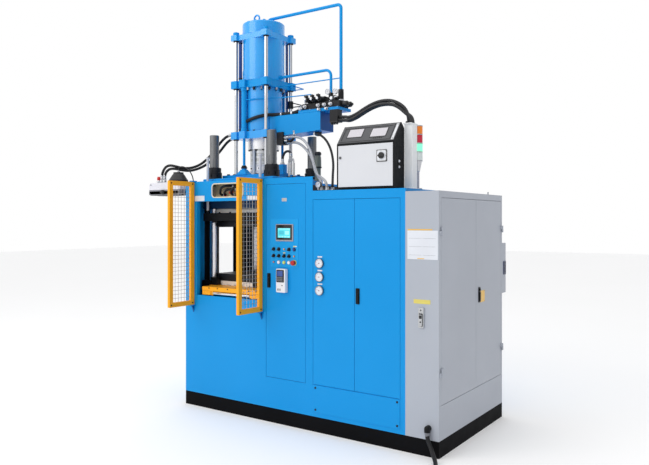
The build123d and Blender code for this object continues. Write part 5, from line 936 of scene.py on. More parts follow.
def add_hoses():
    for index, (dy, dz) in enumerate(CONDUIT_OFFSETS):
        points = [(x, y + dy, z + dz) for x, y, z in CONDUIT_ROUTE[:-2]]
        points += [(x - dz, y + dy, z) for x, y, z in CONDUIT_ROUTE[-2:]]
        hose_piece(f"conduit_{index}", points, CONDUIT_R, "conduit_bundle", conduit_plastic, pitch=0.0066,
                   bend=((0.86, -0.4, 2.45), (0.17, -0.14, 2.5)))
    for index, route in enumerate(SIDE_ROUTES):
        hose_piece(f"side_hose_{index}", route, SIDE_HOSE_R, "side_hoses", hose_rubber,
                   bend=((-1.58, -0.54, 2.13), (-1.07, -0.25, 2.42)))
        end_sleeve(f"side_hose_{index}_top", route[0], (1, 0, 0), SIDE_HOSE_R, "injection")
        end_sleeve(f"side_hose_{index}_foot", route[-1], (0, 0, -1), SIDE_HOSE_R, "root")
    for index, route in enumerate(GREY_ROUTES):
        hose_piece(f"braided_hose_{index}", route, GREY_HOSE_R, "grey_hoses", braid,
                   bend=((0.19, -0.53, 1.95), (-0.4, -0.14, 2.36)))
        end_sleeve(f"braided_hose_{index}_top", route[0], (-1, 0, 0), GREY_HOSE_R, "injection")
    hose_piece("drop_hose_tube", DROP_ROUTE, DROP_HOSE_R, "drop_hose", hose_rubber,
               bend=((0.23, -0.43, 1.95), (-0.12, -0.14, 2.4)))
    end_sleeve("drop_hose_top", DROP_ROUTE[0], (0, 1, 0), DROP_HOSE_R, "injection")


# Axis of the injection unit, plane of the front sheets and plane of the right-hand sheets
AX, AY = -0.8, -0.055
FRONT = -0.615
SIDE = 1.24
# Heights of the base plate's top and the head's top, and the free lengths of the guide rods
BASE_TOP = 2.06
HEAD_TOP = 3.4605
ROD_SPANS = ((2.4565, 2.8585), (2.9255, 3.3005))


def bare_plate(name, body, axis, low, high, finish, rim=None, rivets=True):
    """Thin bare name plate with a raised rim and corner rivets; its face looks along -Y or +X"""
    shape = Shape(finish, rim or zinc)
    shape.panel(axis, low, high, 0.003)
    index = "XYZ".index(axis)
    face, out = (low[index], "-Y") if axis == "Y" else (high[index], "X")
    if rivets:
        rows = [(low[flat] + 0.005, high[flat] - 0.005) for flat in range(3) if flat != index]
        for a, b in product(*rows):
            spot = [a, b]
            spot.insert(index, face)
            shape.use(1).turned(spot, out, 12, 0, -0.5, 2.2, -0.5, 1.8, 0.8, 0, 1.1)
    return shape.make(name, body, bevel=0.0004)


def front_plate(name, body, x0, x1, z0, z1, thick, finish, rivets=True):
    bare_plate(name, body, "Y", (x0, FRONT - thick, z0), (x1, FRONT, z1), finish, rivets=rivets)


# Press: guards, casing and what shows in its openings
def add_guards():
    for hinge_x, body in ((-1.14, "guard_l"), (-0.351, "guard_r")):
        wires = Shape(mesh_wire)
        y0, y1, z0, z1 = -0.87, -0.66, 0.937, 1.948
        for index in range(3):
            y = y0 + (y1 - y0) * (index + 0.5) / 3
            wires.rod((hinge_x, y, z0 - 0.003), (hinge_x, y, z1 + 0.003), 0.0015, 8)
        for index in range(15):
            z = z0 + (z1 - z0) * (index + 0.5) / 15
            wires.rod((hinge_x, y0 - 0.003, z), (hinge_x, y1 + 0.003, z), 0.0015, 8)
        wires.make(f"{body}_mesh", body)
        screws = Shape(dark_steel)
        for z, y, side in product((0.917, 1.968), (-0.64, -0.89), (-1, 1)):
            spot = (hinge_x + side * 0.0125, y, z)
            screws.turned(spot, "X" if side > 0 else "-X", 14, 0, -1, 6.5, -1, 6.5, 2.2, 3.5, 2.6, 3, 1, 0, 1)
        screws.make(f"{body}_screws", body)


def add_casing_details():
    front_plate("header_plate_left", "root", -1.125, -1.007, 1.816, 1.863, 0.0016, label_white)
    front_plate("header_plate_right", "root", -0.505, -0.391, 1.815, 1.853, 0.0016, label_white)
    backing = Shape(beige_plate, dark_steel)
    backing.panels("Y", (0, -1020, -512, 1836, -545, -499, 1974, 10))
    for x, z in product((-0.98, -0.735, -0.57), (1.856, 1.954)):
        backing.use(1).socket_screw((x, -0.512, z), "-Y", 0.007, 0.007)
    backing.make("header_backing", "root", bevel=0.001)
    routes = [route_mm(
        -868, -515, 1868, -868, -556, 1868, -862, -572, 1905, -835, -574, 1936, -795, -572, 1944,
        -768, -556, 1946, -760, -515, 1946),
              route_mm(
                  -832, -515, 1866, -832, -545, 1866, -818, -560, 1895, -790, -562, 1914, -755, -560, 1914,
                  -735, -545, 1912, -728, -515, 1912),
              route_mm(
                  -742, -515, 1868, -742, -556, 1868, -730, -574, 1900, -700, -576, 1928, -655, -574, 1936,
                  -625, -556, 1936, -612, -515, 1936)]
    for index, route in enumerate(routes):
        path, _ = spline_path(f"header_line_{index}", route)
        hose = Shape(hose_rubber, zinc, needle_red)
        hose.tube(path, 0.0105, 14)
        for end in (0, -1):
            at = Vector(route[end]) + Vector((0, -0.003, 0))
            hose.use(1).nut(at, "-Y", 0.026, 0.014)
        hose.use(2 if index == 1 else 1).nut(Vector(route[0]) + Vector((0, -0.017, 0)), "-Y", 0.022, 0.008)
        hose.make(f"header_hose_{index}", "root")
    stud = Shape(needle_red, dark_steel)
    stud.turned((-0.774, -0.512, 1.888), "-Y", 24, 0, 0, 16, 0, 16, 6, 12, 8, 12, 30, 9, 34, 0, 34)
    stud.make("header_cap", "root")
    block = Shape(black_paint, dark_steel)
    block.box((-1.2, -0.452, 1.03), (-1.062, -0.404, 1.098))
    for x in (-1.178, -1.084):
        block.use(1).socket_screw((x, -0.452, 1.064), "-Y", 0.009, 0.008)
    block.make("side_stop", "root", bevel=0.002)


def add_table_details():
    roller = Shape(chrome, brass, dark_steel)
    x0, x1, y, z = -0.9252, -0.502, -0.59, 1.008
    roller.lathe((x0, y, z), "X", [(0.006, 0), (0.0145, 0), (0.0146, 0.003), (0.0146, x1 - x0 - 0.003),
                                   (0.0145, x1 - x0), (0.006, x1 - x0)], 28)
    roller.use(1).turned((x0 - 0.004, y, z), "X", 28, 6.1, 0, 13.5, 0, 16.2, 3, 16.2, 18, 14.7, 20)
    roller.make("table_roller_sleeve", "table")
    screws = Shape(dark_steel)
    for x in (-1.05, -0.96, -0.86, -0.74, -0.62, -0.5, -0.42):
        screws.socket_screw((x, -0.606, 1.052), "-Y", 0.0055, 0.004)
    screws.make("table_screws", "table")
    apron = Shape(orange_paint, black_paint)
    apron.panels("Y",
        (0, -1043, -606, 991.5, -942, -590, 1029, 3),
        (0, -486, -606, 991.5, -400, -590, 1029, 3),
        (1, -942, -574.5, 991.5, -486, -570, 1029, 3))
    apron.make("table_apron", "table", bevel=0.0015)
    for body, z, name in (("table", 1.053, "lower"), ("root", 1.7125, "upper")):
        plugs = Shape(dark_steel, black_plastic)
        for x in (-1.03, -0.9, -0.7, -0.57):
            plugs.use(0).turned((x, -0.4, z), "-Y", 20, 0, -1, 11, -1, 11, 3, 8, 4, 8, 1, 0, 1)
        plugs.make(f"{name}_heater_ends", body)


# Control door
def add_control_door():
    screen = Shape(glass_black, screen_cyan, screen_mint, screen_teal)
    screen.panels("Y",
        (0, -190, -624.9, 1490, -30, -622.2, 1610, 4),
        (1, -173, -625.4, 1507, -47, -624.8, 1584, 2),
        (2, -171, -625.7, 1573, -49, -625.3, 1581, 1))
    for index in range(4):
        x = -0.166 + index * 0.03
        screen.use(2).panel("Y", (x, -0.6257, 1.511), (x + 0.022, -0.6253, 1.52), 0.002)
    screen.panels("Y",
        (3, -160, -625.7, 1532, -110, -625.3, 1562, 3),
        (2, -100, -625.7, 1532, -58, -625.3, 1562, 3))
    screen.make("hmi_screen", "control_panel")
    plates = Shape(label_yellow, label_white)
    for x, z, index in ((-0.012, 1.4385, 0), (-0.113, 1.385, 0), (0.006, 1.4385, 1)):
        half = 0.01 if index == 0 else 0.007
        plates.use(index).panel("Y", (x - half, FRONT - 0.0032, z - 0.0045),
                                (x + half, FRONT - 0.002, z + 0.0045), 0.001)
    plates.make("switch_plates", "control_panel", bevel=0.0003)
    ring = Shape(label_yellow)
    ring.turned((-0.012, FRONT - 0.002, 1.308), "-Y", 40, 16, 0, 22.5, 0, 22.5, 1.2, 16, 1.2)
    ring.make("stop_plate", "control_panel")
    front_plate("door_plate", "control_panel", -0.139, -0.089, 1.799, 1.826, 0.0014, zinc)
    keys = Shape(glass_black, screen_blue, grey_plastic, black_plastic)
    keys.panels("Y",
        (0, -163, -656.2, 1150, -86.5, -652.5, 1250.5, 6),
        (1, -156, -657, 1198, -100, -656.1, 1242, 2))
    for row, column in product(range(3), range(4)):
        x, z = -0.1555 + column * 0.0145, 1.158 + row * 0.0125
        keys.use(2).panel("Y", (x, -0.6578, z), (x + 0.0112, -0.6561, z + 0.009), 0.002)
    keys.use(3).turned((-0.106, -0.655, 1.125), "-Y", 18, 0, -1, 5.2, -1, 5.2, 1, 4, 1.8, 0, 1.8)
    for x in (-0.152, -0.14, -0.128):
        keys.use(3).panel("Y", (x, -0.6556, 1.082), (x + 0.006, -0.6549, 1.1), 0.002)
    keys.make("handset_keys", "control_panel", bevel=0.0004)


# Hydraulic cabinet front
def add_gauges():
    for index, z in enumerate((1.314, 1.208, 1.103)):
        face = FRONT - 0.0132
        dial = Shape(label_white, black_plastic, needle_red, glass_black)
        dial.turned((0.236, face, z), "-Y", 48, 0, 0, 33.3, 0, 33.3, 0.6, 0, 0.6)
        for tick in range(26):
            angle = radians(225 - tick * 270 / 25)
            long = tick % 5 == 0
            inner, outer, half = (0.022 if long else 0.0255), 0.03, (0.0007 if long else 0.0004)
            along = Vector((cos(angle), 0, sin(angle)))
            across = Vector((-sin(angle), 0, cos(angle))) * half
            centre = Vector((0.236, face - 0.0007, z))
            dial.use(1).face([dial.bm.verts.new(centre + along * far + across * side) for far, side in (
                (inner, 1), (outer, 1), (outer, -1), (inner, -1))])
        angle = radians(205 - index * 24)
        along = Vector((cos(angle), 0, sin(angle)))
        hub = Vector((0.236, face - 0.0008, z))
        dial.use(2).rod(hub - along * 0.006, hub + along * 0.024, 0.0016, 8, 0.0005)
        dial.use(1).turned(hub, "-Y", 18, 0, 0, 3.4, 0, 2.8, 1.4, 0, 1.6)
        dial.make(f"gauge_dial_{index}", "door_left")
        bare_plate(f"gauge_plate_{index}", "door_left", "Y", (0.214, FRONT - 0.0012, z + 0.044),
                   (0.258, FRONT, z + 0.055), label_white, rivets=False)


def add_kick_screws():
    screws = Shape(dark_steel)
    for x, z in product((0.196, 0.916), (0.174, 0.344)):
        screws.turned((x, FRONT - 0.0039, z), "-Y", 20, 0, 0, 8.5, 0, 8, 2.6, 4.5, 3.4, 4, 1.2, 0, 1.2)
    screws.make("kick_screws", "root")


# Electrical cabinet
def add_electrical_details():
    plate = Shape(label_white, label_amber, grey_plastic)
    plate.panels("Y",
        (0, 997, -616.6, 1373, 1233, -615, 1576, 4),
        (1, 999, -617, 1577, 1190, -615, 1586, 1),
        (1, 1075, -617, 1376, 1128, -616.4, 1382, 1))
    for x, z in product((1.01, 1.117), (1.402, 1.462, 1.52)):
        plate.use(2).panel("Y", (x, FRONT - 0.0018, z), (x + 0.098, FRONT - 0.0014, z + 0.0012), 0.0004, 1)
    plate.make("cabinet_plate_large", "root")
    front_plate("cabinet_plate_small", "root", 1.046, 1.176, 1.062, 1.092, 0.0012, label_yellow,
               rivets=False)
    lock = Shape(steel, black_plastic, dark_steel)
    face = FRONT - 0.008
    lock.panels("Y",
        (0, 1086.5, -626, 894, 1127.5, -622, 1035, 6),
        (2, 1092.5, -626.4, 903, 1121.5, -625.8, 996, 4),
        (0, 1095, -634, 905.5, 1119, -626, 988, 7),
        (1, 1096.5, -635, 959, 1117.5, -633.5, 983, 3))
    lock.use(2).turned((1.107, face - 0.011, 0.936), "-Y", 20, 0, 0, 6, 0, 5.5, 1, 0, 1.2)
    lock.use(2).turned((1.107, face - 0.003, 1.018), "-Y", 16, 0, 0, 5.5, 0, 4.5, 2, 0, 2.6)
    lock.make("swing_lock_cover", "root", bevel=0.0008)
    bare_plate("side_plate", "side_rear", "X", (SIDE, 0.132, 1.006), (SIDE + 0.0014, 0.226, 1.096),
               label_amber, rim=dark_steel)
    vent = Shape(label_blue, dark_steel)
    x = 1.222
    vent.panel("X", (x - 0.001, 0.69, 1.184), (x + 0.003, 0.754, 1.3), 0.004)
    for index in range(8):
        z = 1.194 + index * 0.0128
        slat = [(0.696, z), (0.748, z), (0.748, z + 0.004), (0.696, z + 0.004)]
        vent.use(1).prism(slat, "X", x + 0.001, x + 0.0062)
    vent.make("cooler_vent", "root", bevel=0.0006)
    knob = Shape(zinc)
    knob.turned((1.2, 0.402, 1.854), "Z", 20, 0, 0, 9, 0, 9, 4, 5, 7, 5, 14, 8, 18, 6, 23, 0, 24)
    knob.make("roof_knob", "root")


# Roof equipment
SLOPE_ORIGIN = Vector((0.383, -0.598, 2.224))
SLOPE_UP = Vector((0.0, 0.112, 0.146)).normalized()
SLOPE_OUT = Vector((0.0, -SLOPE_UP.z, SLOPE_UP.y))


def on_slope(shape):
    """Lays a shape drawn with X across, Y up the slope and Z out of it onto the console's sloping face"""
    turn = Matrix((Vector((1, 0, 0)), SLOPE_UP, SLOPE_OUT)).transposed().to_4x4()
    bmesh.ops.transform(shape.bm, matrix=Matrix.Translation(SLOPE_ORIGIN) @ turn, verts=shape.bm.verts)
    return shape


def add_console():
    frame_part = Shape(grey_frame, black_plastic, screen_pale, zinc)
    frame_part.panels("Z", (0, 4, 6, -1, 493, 178, 2.2, 4))
    for low, high in (((0.014, 0.018), (0.455, 0.03)), ((0.014, 0.156), (0.455, 0.168)),
                      ((0.014, 0.03), (0.027, 0.156)), ((0.442, 0.03), (0.455, 0.156))):
        frame_part.use(0).panel("Z", (*low, 0.002), (*high, 0.0058), 0.002)
    for x0, x1, y0, y1 in ((0.07, 0.195, 0.064, 0.144), (0.274, 0.405, 0.055, 0.137)):
        frame_part.use(1).panel("Z", (x0 - 0.007, y0 - 0.007, 0.0018),
                                (x1 + 0.007, y1 + 0.007, 0.0034), 0.004)
        frame_part.use(2).panel("Z", (x0, y0, 0.003), (x1, y1, 0.0044), 0.002)
    for index in range(5):
        x = 0.305 + index * 0.017
        frame_part.use(1).panel("Z", (x, 0.034, 0.0018), (x + 0.011, 0.044, 0.0044), 0.002)
    frame_part.panels("Z", (3, 467, 10, 1.8, 487, 174, 4.6, 3))
    for y in (0.022, 0.162):
        frame_part.use(1).turned((0.477, y, 0.0044), "Z", 14, 0, 0, 4.2, 0, 3.6, 1.4, 0, 1.8)
    on_slope(frame_part).make("console_screens", "root", bevel=0.0005)
    lock = Shape(black_plastic, zinc)
    lock.turned((0.416, -0.604, 2.121), "-Y", 24, 0, -1, 10.5, -1, 10.5, 1.5, 8.5, 3, 0, 3.2)
    lock.panels("Y", (1, 410, -607.8, 2119.5, 422, -607, 2122.5, 1))
    lock.make("console_lock", "console_leaf")
    plate = Shape(zinc, label_white, dark_steel, black_plastic)
    plate.panels("Y",
        (3, 734, -601.4, 2076, 822, -600.6, 2164, 6),
        (0, 738, -602.2, 2082, 816, -600.8, 2160, 5),
        (1, 745, -602.6, 2089, 809, -602, 2153, 4))
    for x, z in product((0.742, 0.812), (2.086, 2.156)):
        plate.use(2).turned((x, -0.602, z), "-Y", 12, 0, 0, 2.6, 0, 2.2, 1, 0, 1.4)
    plate.make("main_switch_plate", "console_leaf")
    lamps = Shape(zinc, label_white, black_plastic)
    for z in (2.08, 2.038):
        lamps.use(0).turned((0.88, -0.525, z), "X", 22, 0, -1, 11, -1, 11, 3, 8.5, 4.5, 8.5, 3, 0, 3)
        lamps.use(1).turned((0.88, -0.525, z), "X", 20, 0, 3, 8, 3, 7.5, 6.5, 4, 8.5, 0, 8.8)
    lamps.make("console_side_lamps", "root")
    feet = Shape(dark_steel)
    for x, y in product((0.42, 0.63, 0.84), (-0.568, -0.473)):
        feet.nut((x, y - 0.0005, 1.8875), "Z", 0.012, 0.005)
    feet.make("console_bolts", "root")


def add_tower():
    x, y = 0.935, -0.33
    seams = Shape(tower_silver, tower_clear)
    for index in range(5):
        z = 2.091 + 0.065 * index
        seams.turned((x, y, z), "Z", 36, 34.5, -1.5, 36.2, -1.2, 36.2, 5.5, 34.5, 6)
    seams.turned((x, y, 2.351), "Z", 36, 0, 1, 30, 0.8, 34.5, -2, 34.5, 0.5, 29, 4.2, 12, 6.2, 0, 6.5)
    seams.make("tower_rings", "root")
    lit = Shape(lamp_green)
    lit.turned((x, y, 2.156), "Z", 36, 34.5, 6, 35.7, 7, 35.7, 61, 34.5, 62)
    lit.make("tower_green_lens", "root")
    clamp = Shape(tower_silver)
    clamp.turned((x, y, 2.01), "Z", 30, 11.2, 0, 15.5, 4, 20.5, 30, 26.2, 58, 30, 80, 31.8, 81)
    for angle in range(4):
        at = radians(90 * angle + 45)
        clamp.socket_screw((x + 0.024 * cos(at), y + 0.024 * sin(at), 1.886), "Z", 0.0035, 0.003)
    clamp.make("tower_socket", "root")
    cap = Shape(duct_white, dark_steel)
    cap.panels("Z", (0, 881.5, -467.5, 2358.5, 952.5, -362.5, 2364, 5))
    for cx, cy in ((0.9, -0.425), (0.9, -0.395), (0.928, -0.41)):
        cap.use(1).turned((cx, cy, 2.3635), "Z", 24, 13.2, -1, 19.5, -1, 19.5, 4, 16.5, 6, 16.5, 14, 14.5, 18,
            13.2, 18)
    cap.make("duct_cap", "root", bevel=0.0008)


# Injection unit
def ring_of(count, radius, start):
    """Places round the injection axis: number, x, y and angle"""
    for index in range(count):
        angle = start + 2 * pi * index / count
        yield index, *circle(AX, AY, radius, angle), angle


def add_injection_details():
    bolts = Shape(dark_steel, zinc)
    flange = list(ring_of(16, 0.1845, pi / 16))
    for index, x, y, angle in flange:
        bolts.use(index % 2).nut((x, y, 2.8585), "-Z", 0.0215, 0.024, angle)
        bolts.use(0).turned((x, y, 2.8345), "-Z", 12, 0, 0, 6, 0, 6, 6, 5, 7, 0, 7)
    for _, x, y, angle in flange:
        bolts.nut((x, y, 2.4565), "Z", 0.0165, 0.012, angle)
    for _, x, y, _ in ring_of(12, 0.133, 0.13):
        bolts.socket_screw((x, y, 2.2975), "-Z", 0.0085, 0.01)
    bolts.make("plate_bolts", "injection")
    cap_bolts = Shape(blue_paint, dark_steel)
    for _, x, y, _ in ring_of(12, 0.16, 0.2):
        cap_bolts.socket_screw((x, y, HEAD_TOP), "Z", 0.013, 0.012)
    cap_bolts.make("cap_bolts", "injection")
    barrel = Shape(zinc, dark_steel, white_metal)
    for _, x, y, angle in ring_of(8, 0.1235, 0.35):
        out = Vector((cos(angle), sin(angle), 0))
        barrel.use(1).socket_screw(Vector((x, y, 2.122)), out, 0.0075, 0.006)
    barrel.use(0)
    for z in (2.176, 2.224, 2.272):
        barrel.turned((AX, AY, z), "Z", 64, 122.6, -11, 125, -10, 125, 10, 122.6, 11)
    for low, high in ((4, 28), (60, 80)):
        barrel.use(2).turned((AX, AY, 2.078), "Z", 64, 123.6, low, 125.2, low + 2, 125.2, high - 2,
            123.6, high)
    barrel.make("barrel_bands", "injection")
    tops = Shape(dark_steel, zinc, blue_paint)
    for x, y in product((AX - 0.179, AX + 0.179), (AY - 0.179, AY + 0.179)):
        tops.use(2).turned((x, y, 3.35), "Z", 28, 16.8, 0, 29, 0, 29, 3, 16.8, 3.4)
        tops.use(2).turned((x, y, 3.353), "Z", 28, 27.2, 0, 28.4, 1, 28.4, 22.5, 26, 25, 17.2, 25.2,
            17.2, 27.5, 15, 29, 0, 29.2)
        for z in (2.9262, 2.4572):
            tops.use(1).turned((x, y, z), "Z", 28, 17, 0, 24.5, 0, 24, 5, 20.5, 7.2, 17, 7.4)
        for z in (2.8578, 2.3898, 3.2998):
            tops.use(0).turned((x, y, z), "-Z", 28, 17, 0, 26, 0, 25.5, 6, 21, 10, 17, 10.4)
    tops.make("rod_collars", "injection")
    bars = Shape(navy_gloss, dark_steel)
    for z0, z1 in ROD_SPANS:
        bars.use(0).panel("X", (-0.945, -0.238, z0), (-0.923, -0.215, z1), 0.004)
        bars.use(0).rod((-0.6615, 0.124, z0), (-0.6615, 0.124, z1), 0.0085, 18)
    for z in (2.48, 2.835, 2.95, 3.276):
        bars.use(1).panel("X", (-0.9465, -0.2395, z - 0.007), (-0.9215, -0.2135, z + 0.007), 0.005)
    bars.make("guide_bar", "injection", bevel=0.001)
    rear = Shape(chrome, dark_steel)
    for z0, z1 in ROD_SPANS:
        rear.use(0).rod((-0.687, 0.14, z0), (-0.687, 0.14, z1), 0.007, 20)
    rear.make("rear_rod", "injection")
    prongs = Shape(blue_paint, dark_steel)
    for slot, z, x0, x1, y1, radius in (
            (0, 2.88, -0.59, -0.466, 0.118, 0.0045), (1, 2.724, -0.606, -0.458, 0.116, 0.005)):
        for z0 in (z + 0.022, z - 0.02):
            prongs.use(slot).rod((x0, 0.124, z0), (x1, y1, z - 0.022), radius, 12)
    prongs.use(1).turned((-0.621, 0.124, 2.69), "Z", 26, 16.7, 0, 25, 0, 25, 70, 16.7, 70)
    prongs.make("switch_prongs", "injection")
    eye = Shape(blue_gloss)
    x, y = -0.882, -0.055
    eye.turned((x, y, HEAD_TOP), "Z", 28, 0, 0, 24, 0, 24, 10, 15, 16, 12, 40, 0, 42)
    ring = [Vector((x + 0.031 * cos(step * pi / 24), y, 3.538 + 0.031 * sin(step * pi / 24)))
            for step in range(48)]
    eye.loop(ring, 0.0085)
    eyebolt = eye.make("eyebolt_ring", "injection")
    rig.replaces(eyebolt, "eyebolt")


def add_base_details():
    parts = Shape(zinc, dark_steel, blue_paint, black_paint)
    for x, y in ((-1.06, -0.25), (-0.54, -0.25), (-0.54, 0.14), (-1.06, 0.14)):
        parts.use(1).socket_screw((x, y, BASE_TOP), "Z", 0.015, 0.014)
    for x, y in ((-0.979, -0.234), (-0.621, -0.234), (-0.621, 0.124), (-0.979, 0.124)):
        parts.use(1).turned((x, y, BASE_TOP), "Z", 30, 16.8, 0, 33, 0, 33, 6, 25, 12, 16.8, 12.4)
    for x, y in ((-0.871, -0.246), (-0.729, 0.136)):
        parts.use(1).nut((x, y, 2.118), "Z", 0.05, 0.016)
        parts.use(1).nut((x, y, 2.134), "Z", 0.042, 0.012, 0.3)
        parts.use(2).panel("Z", (x - 0.068, y - 0.052, 2.0598), (x + 0.068, y + 0.052, 2.0665), 0.006)
    parts.use(0).turned((-0.8, -0.192, BASE_TOP), "Z", 26, 12.1, 0, 24, 0, 24, 8, 16, 14, 12.1, 16)
    parts.make("base_fittings", "root", bevel=0.0012)
    # blue post with a hose on a silver collar, and two chrome rods joined by a bent tube
    post = Shape(blue_paint, zinc, chrome, dark_steel)
    post.panels("Z", (0, -566, -134, 2059.5, -506, -74, 2150, 6), (0, -578, -146, 2059.5, -494, -62, 2072, 6))
    post.use(1).turned((-0.536, -0.104, 2.15), "Z", 26, 0, -1, 21.5, -1, 21.5, 10, 16.5, 14, 16.5, 24, 0, 24)
    for x in (-0.47, -0.412):
        post.use(2).rod((x, -0.1, 2.0235), (x, -0.1, 2.158), 0.0105, 22)
        post.use(3).nut((x, -0.1, 2.024), "Z", 0.034, 0.016)
    arch, _ = spline_path("arch_line", route_mm(
        -470, -100, 2156, -470, -100, 2182, -462, -100, 2196, -441, -100, 2200, -420, -100, 2196,
        -412, -100, 2182, -412, -100, 2156))
    post.use(1).tube(arch, 0.006, 12)
    post.make("post_and_rods", "root")


def add_nut_details():
    """Bolts on the tie-bar nuts, and the machined tops of the bars"""
    details = Shape(dark_steel, zinc)
    for x, y in product((-1.15, -0.45), (-0.361, 0.251)):
        for index in range(6):
            angle = radians(60 * index + 15)
            dx, dy = cos(angle), sin(angle)
            details.use(0).socket_screw((x + 0.047 * dx, y + 0.047 * dy, 2.1295), "Z", 0.005, 0.0045)
        details.use(1).turned((x, y, 2.4285), "Z", 20, 0, 0, 12, 0, 10, 0.6, 0, 0.8)
    details.make("tie_bar_details", "root")


# Valves and hoses on the beam
def add_valves():
    z2 = 2.667
    parts = Shape(dark_steel, zinc, black_plastic, white_metal, brass, blue_paint)
    for index in range(3):
        x = -0.225 + 0.064 * index
        for side in (-1, 1):
            y = AY + side * 0.112
            out = "Y" if side > 0 else "-Y"
            parts.use(2).turned((x, AY + side * 0.05, z2 + 0.026), out, 28, 20.8, 0, 23.6, 1, 23.6, 52,
                21.5, 56, 20.8, 56)
            parts.use(1).turned((x, AY + side * 0.128, z2 + 0.026), out, 20, 0, 0, 12.5, 0, 12.5, 6, 10, 9,
                0, 9)
            parts.use(2).panel("Z", (x - 0.014, y - 0.016, z2 + 0.046),
                               (x + 0.014, y + 0.016, z2 + 0.062), 0.004)
            parts.use(1).nut((x, y, z2 + 0.062), "Z", 0.014, 0.006)
        for dx, dy in product((-0.017, 0.017), (-0.036, 0.036)):
            parts.use(1).socket_screw((x + dx, AY + dy, z2 + 0.052), "Z", 0.0048, 0.005)
        parts.use(1).panel("Z", (x - 0.012, AY - 0.02, z2 + 0.0515),
                           (x + 0.012, AY + 0.02, z2 + 0.053), 0.002)
    for x in (-0.262, -0.12, 0.01, -0.055):
        parts.use(1).nut((x, AY - 0.07, 2.64), "-Y", 0.03, 0.014)
        parts.use(3).turned((x, AY - 0.084, 2.64), "-Y", 20, 0, 0, 11.5, 0, 11.5, 16, 8.5, 18, 0, 18)
    # pressure gauge and test points at the left end of the block
    stem = ((0, 0), (0.01, 0), (0.01, 0.4), (0.0075, 0.5), (0.011, 0.6), (0.011, 1), (0, 1))
    for x, tall in ((-0.282, 0.03), (-0.255, 0.045)):
        outline = [(radius, tall * part) for radius, part in stem]
        parts.use(1).lathe((x, AY - 0.045, z2), "Z", outline, 20)
    for z in (2.742, 2.7):
        parts.use(1).rod((0.034, AY - 0.06, z), (0.062, AY - 0.06, z), 0.006, 14)
    for x, y, z in ((-0.005, AY - 0.092, 2.742), (0.072, AY - 0.092, 2.736)):
        parts.use(1).turned((x, y, z), "-Y", 30, 0, -30, 6, -30, 6, 0, 22.5, 0, 24, 3, 24, 16, 21.5, 18,
            21.5, 15, 0, 15)
        parts.use(3).turned((x, y, z), "-Y", 30, 0, 15.2, 21.3, 15.2, 21.3, 15.8, 0, 15.8)
        parts.use(0).rod((x, y - 0.016, z), (x + 0.01, y - 0.016, z + 0.012), 0.0011, 8)
    for x in (-0.09, -0.012):
        parts.use(1).turned((x, AY - 0.101, 2.598), "-Y", 22, 0, -2, 13.5, -2, 13.5, 12, 9.5, 16, 9.5, 30,
            0, 30)
    for x, r in ((0.063, 0.03), (-0.041, 0.027)):
        parts.use(1).lathe((x, AY, z2), "Z", [
            (r * 0.8, 0), (r, 0), (r, 0.012), (r * 0.86, 0.016), (r * 0.8, 0.016)], 26)
    for dy in (-0.02, 0.036):
        parts.use(2).turned((0.0945, AY + dy, 2.64), "X", 28, 0, 0, 24, 0, 24, 46, 20, 52, 11, 54, 11, 66,
            0, 66)
    parts.use(2).panel("Z", (-0.02, AY - 0.052, 2.666), (0.034, AY + 0.052, 2.716), 0.006)
    parts.use(1).turned((0.007, AY - 0.052, 2.692), "-Y", 24, 0, 0, 16.5, 0, 16.5, 18, 12, 22, 0, 22)
    parts.panels("Z", (5, -318, -158, 2606.2, 102, 48, 2608.5, 3))
    for x, y in product((-0.305, -0.2, -0.1, 0.0, 0.088), (-0.148, 0.038)):
        parts.use(1).socket_screw((x, y, 2.607), "Z", 0.006, 0.0055)
    parts.make("valve_parts", "injection")
    box_part = Shape(black_plastic, zinc, label_amber)
    box_part.panels("Z", (0, 16.5, -169, 2476, 103.5, -92, 2483, 4))
    for x in (0.034, 0.06, 0.086):
        box_part.turned((x, -0.15, 2.477), "-Z", 20, 0, 0, 12.5, 0, 12.5, 10, 9.5, 14, 9.5, 20, 0, 20)
    box_part.make("junction_glands", "injection")


def rigid_hose(name, points, radius, body, finish, fitted=(0, -1), cord=True):
    """Short hose between two fittings of one body, with a crimped ferrule and nut at each end in fitted"""
    path, length = spline_path(name + "_line", points)
    obj = Shape(finish).tube(path, radius, 14).make(name, body)
    for at in fitted:
        before, end = (1, "_start") if at == 0 else (-2, "_end")
        out = Vector(points[at]) - Vector(points[before])
        end_sleeve(name + end, points[at], out.normalized(), radius, body, 0.034)
    if cord:
        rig.cord(obj, exit=points[0], length=length, diameter=2 * radius, far_end="object", stiffness="stiff",
                lay="loose", path=path)


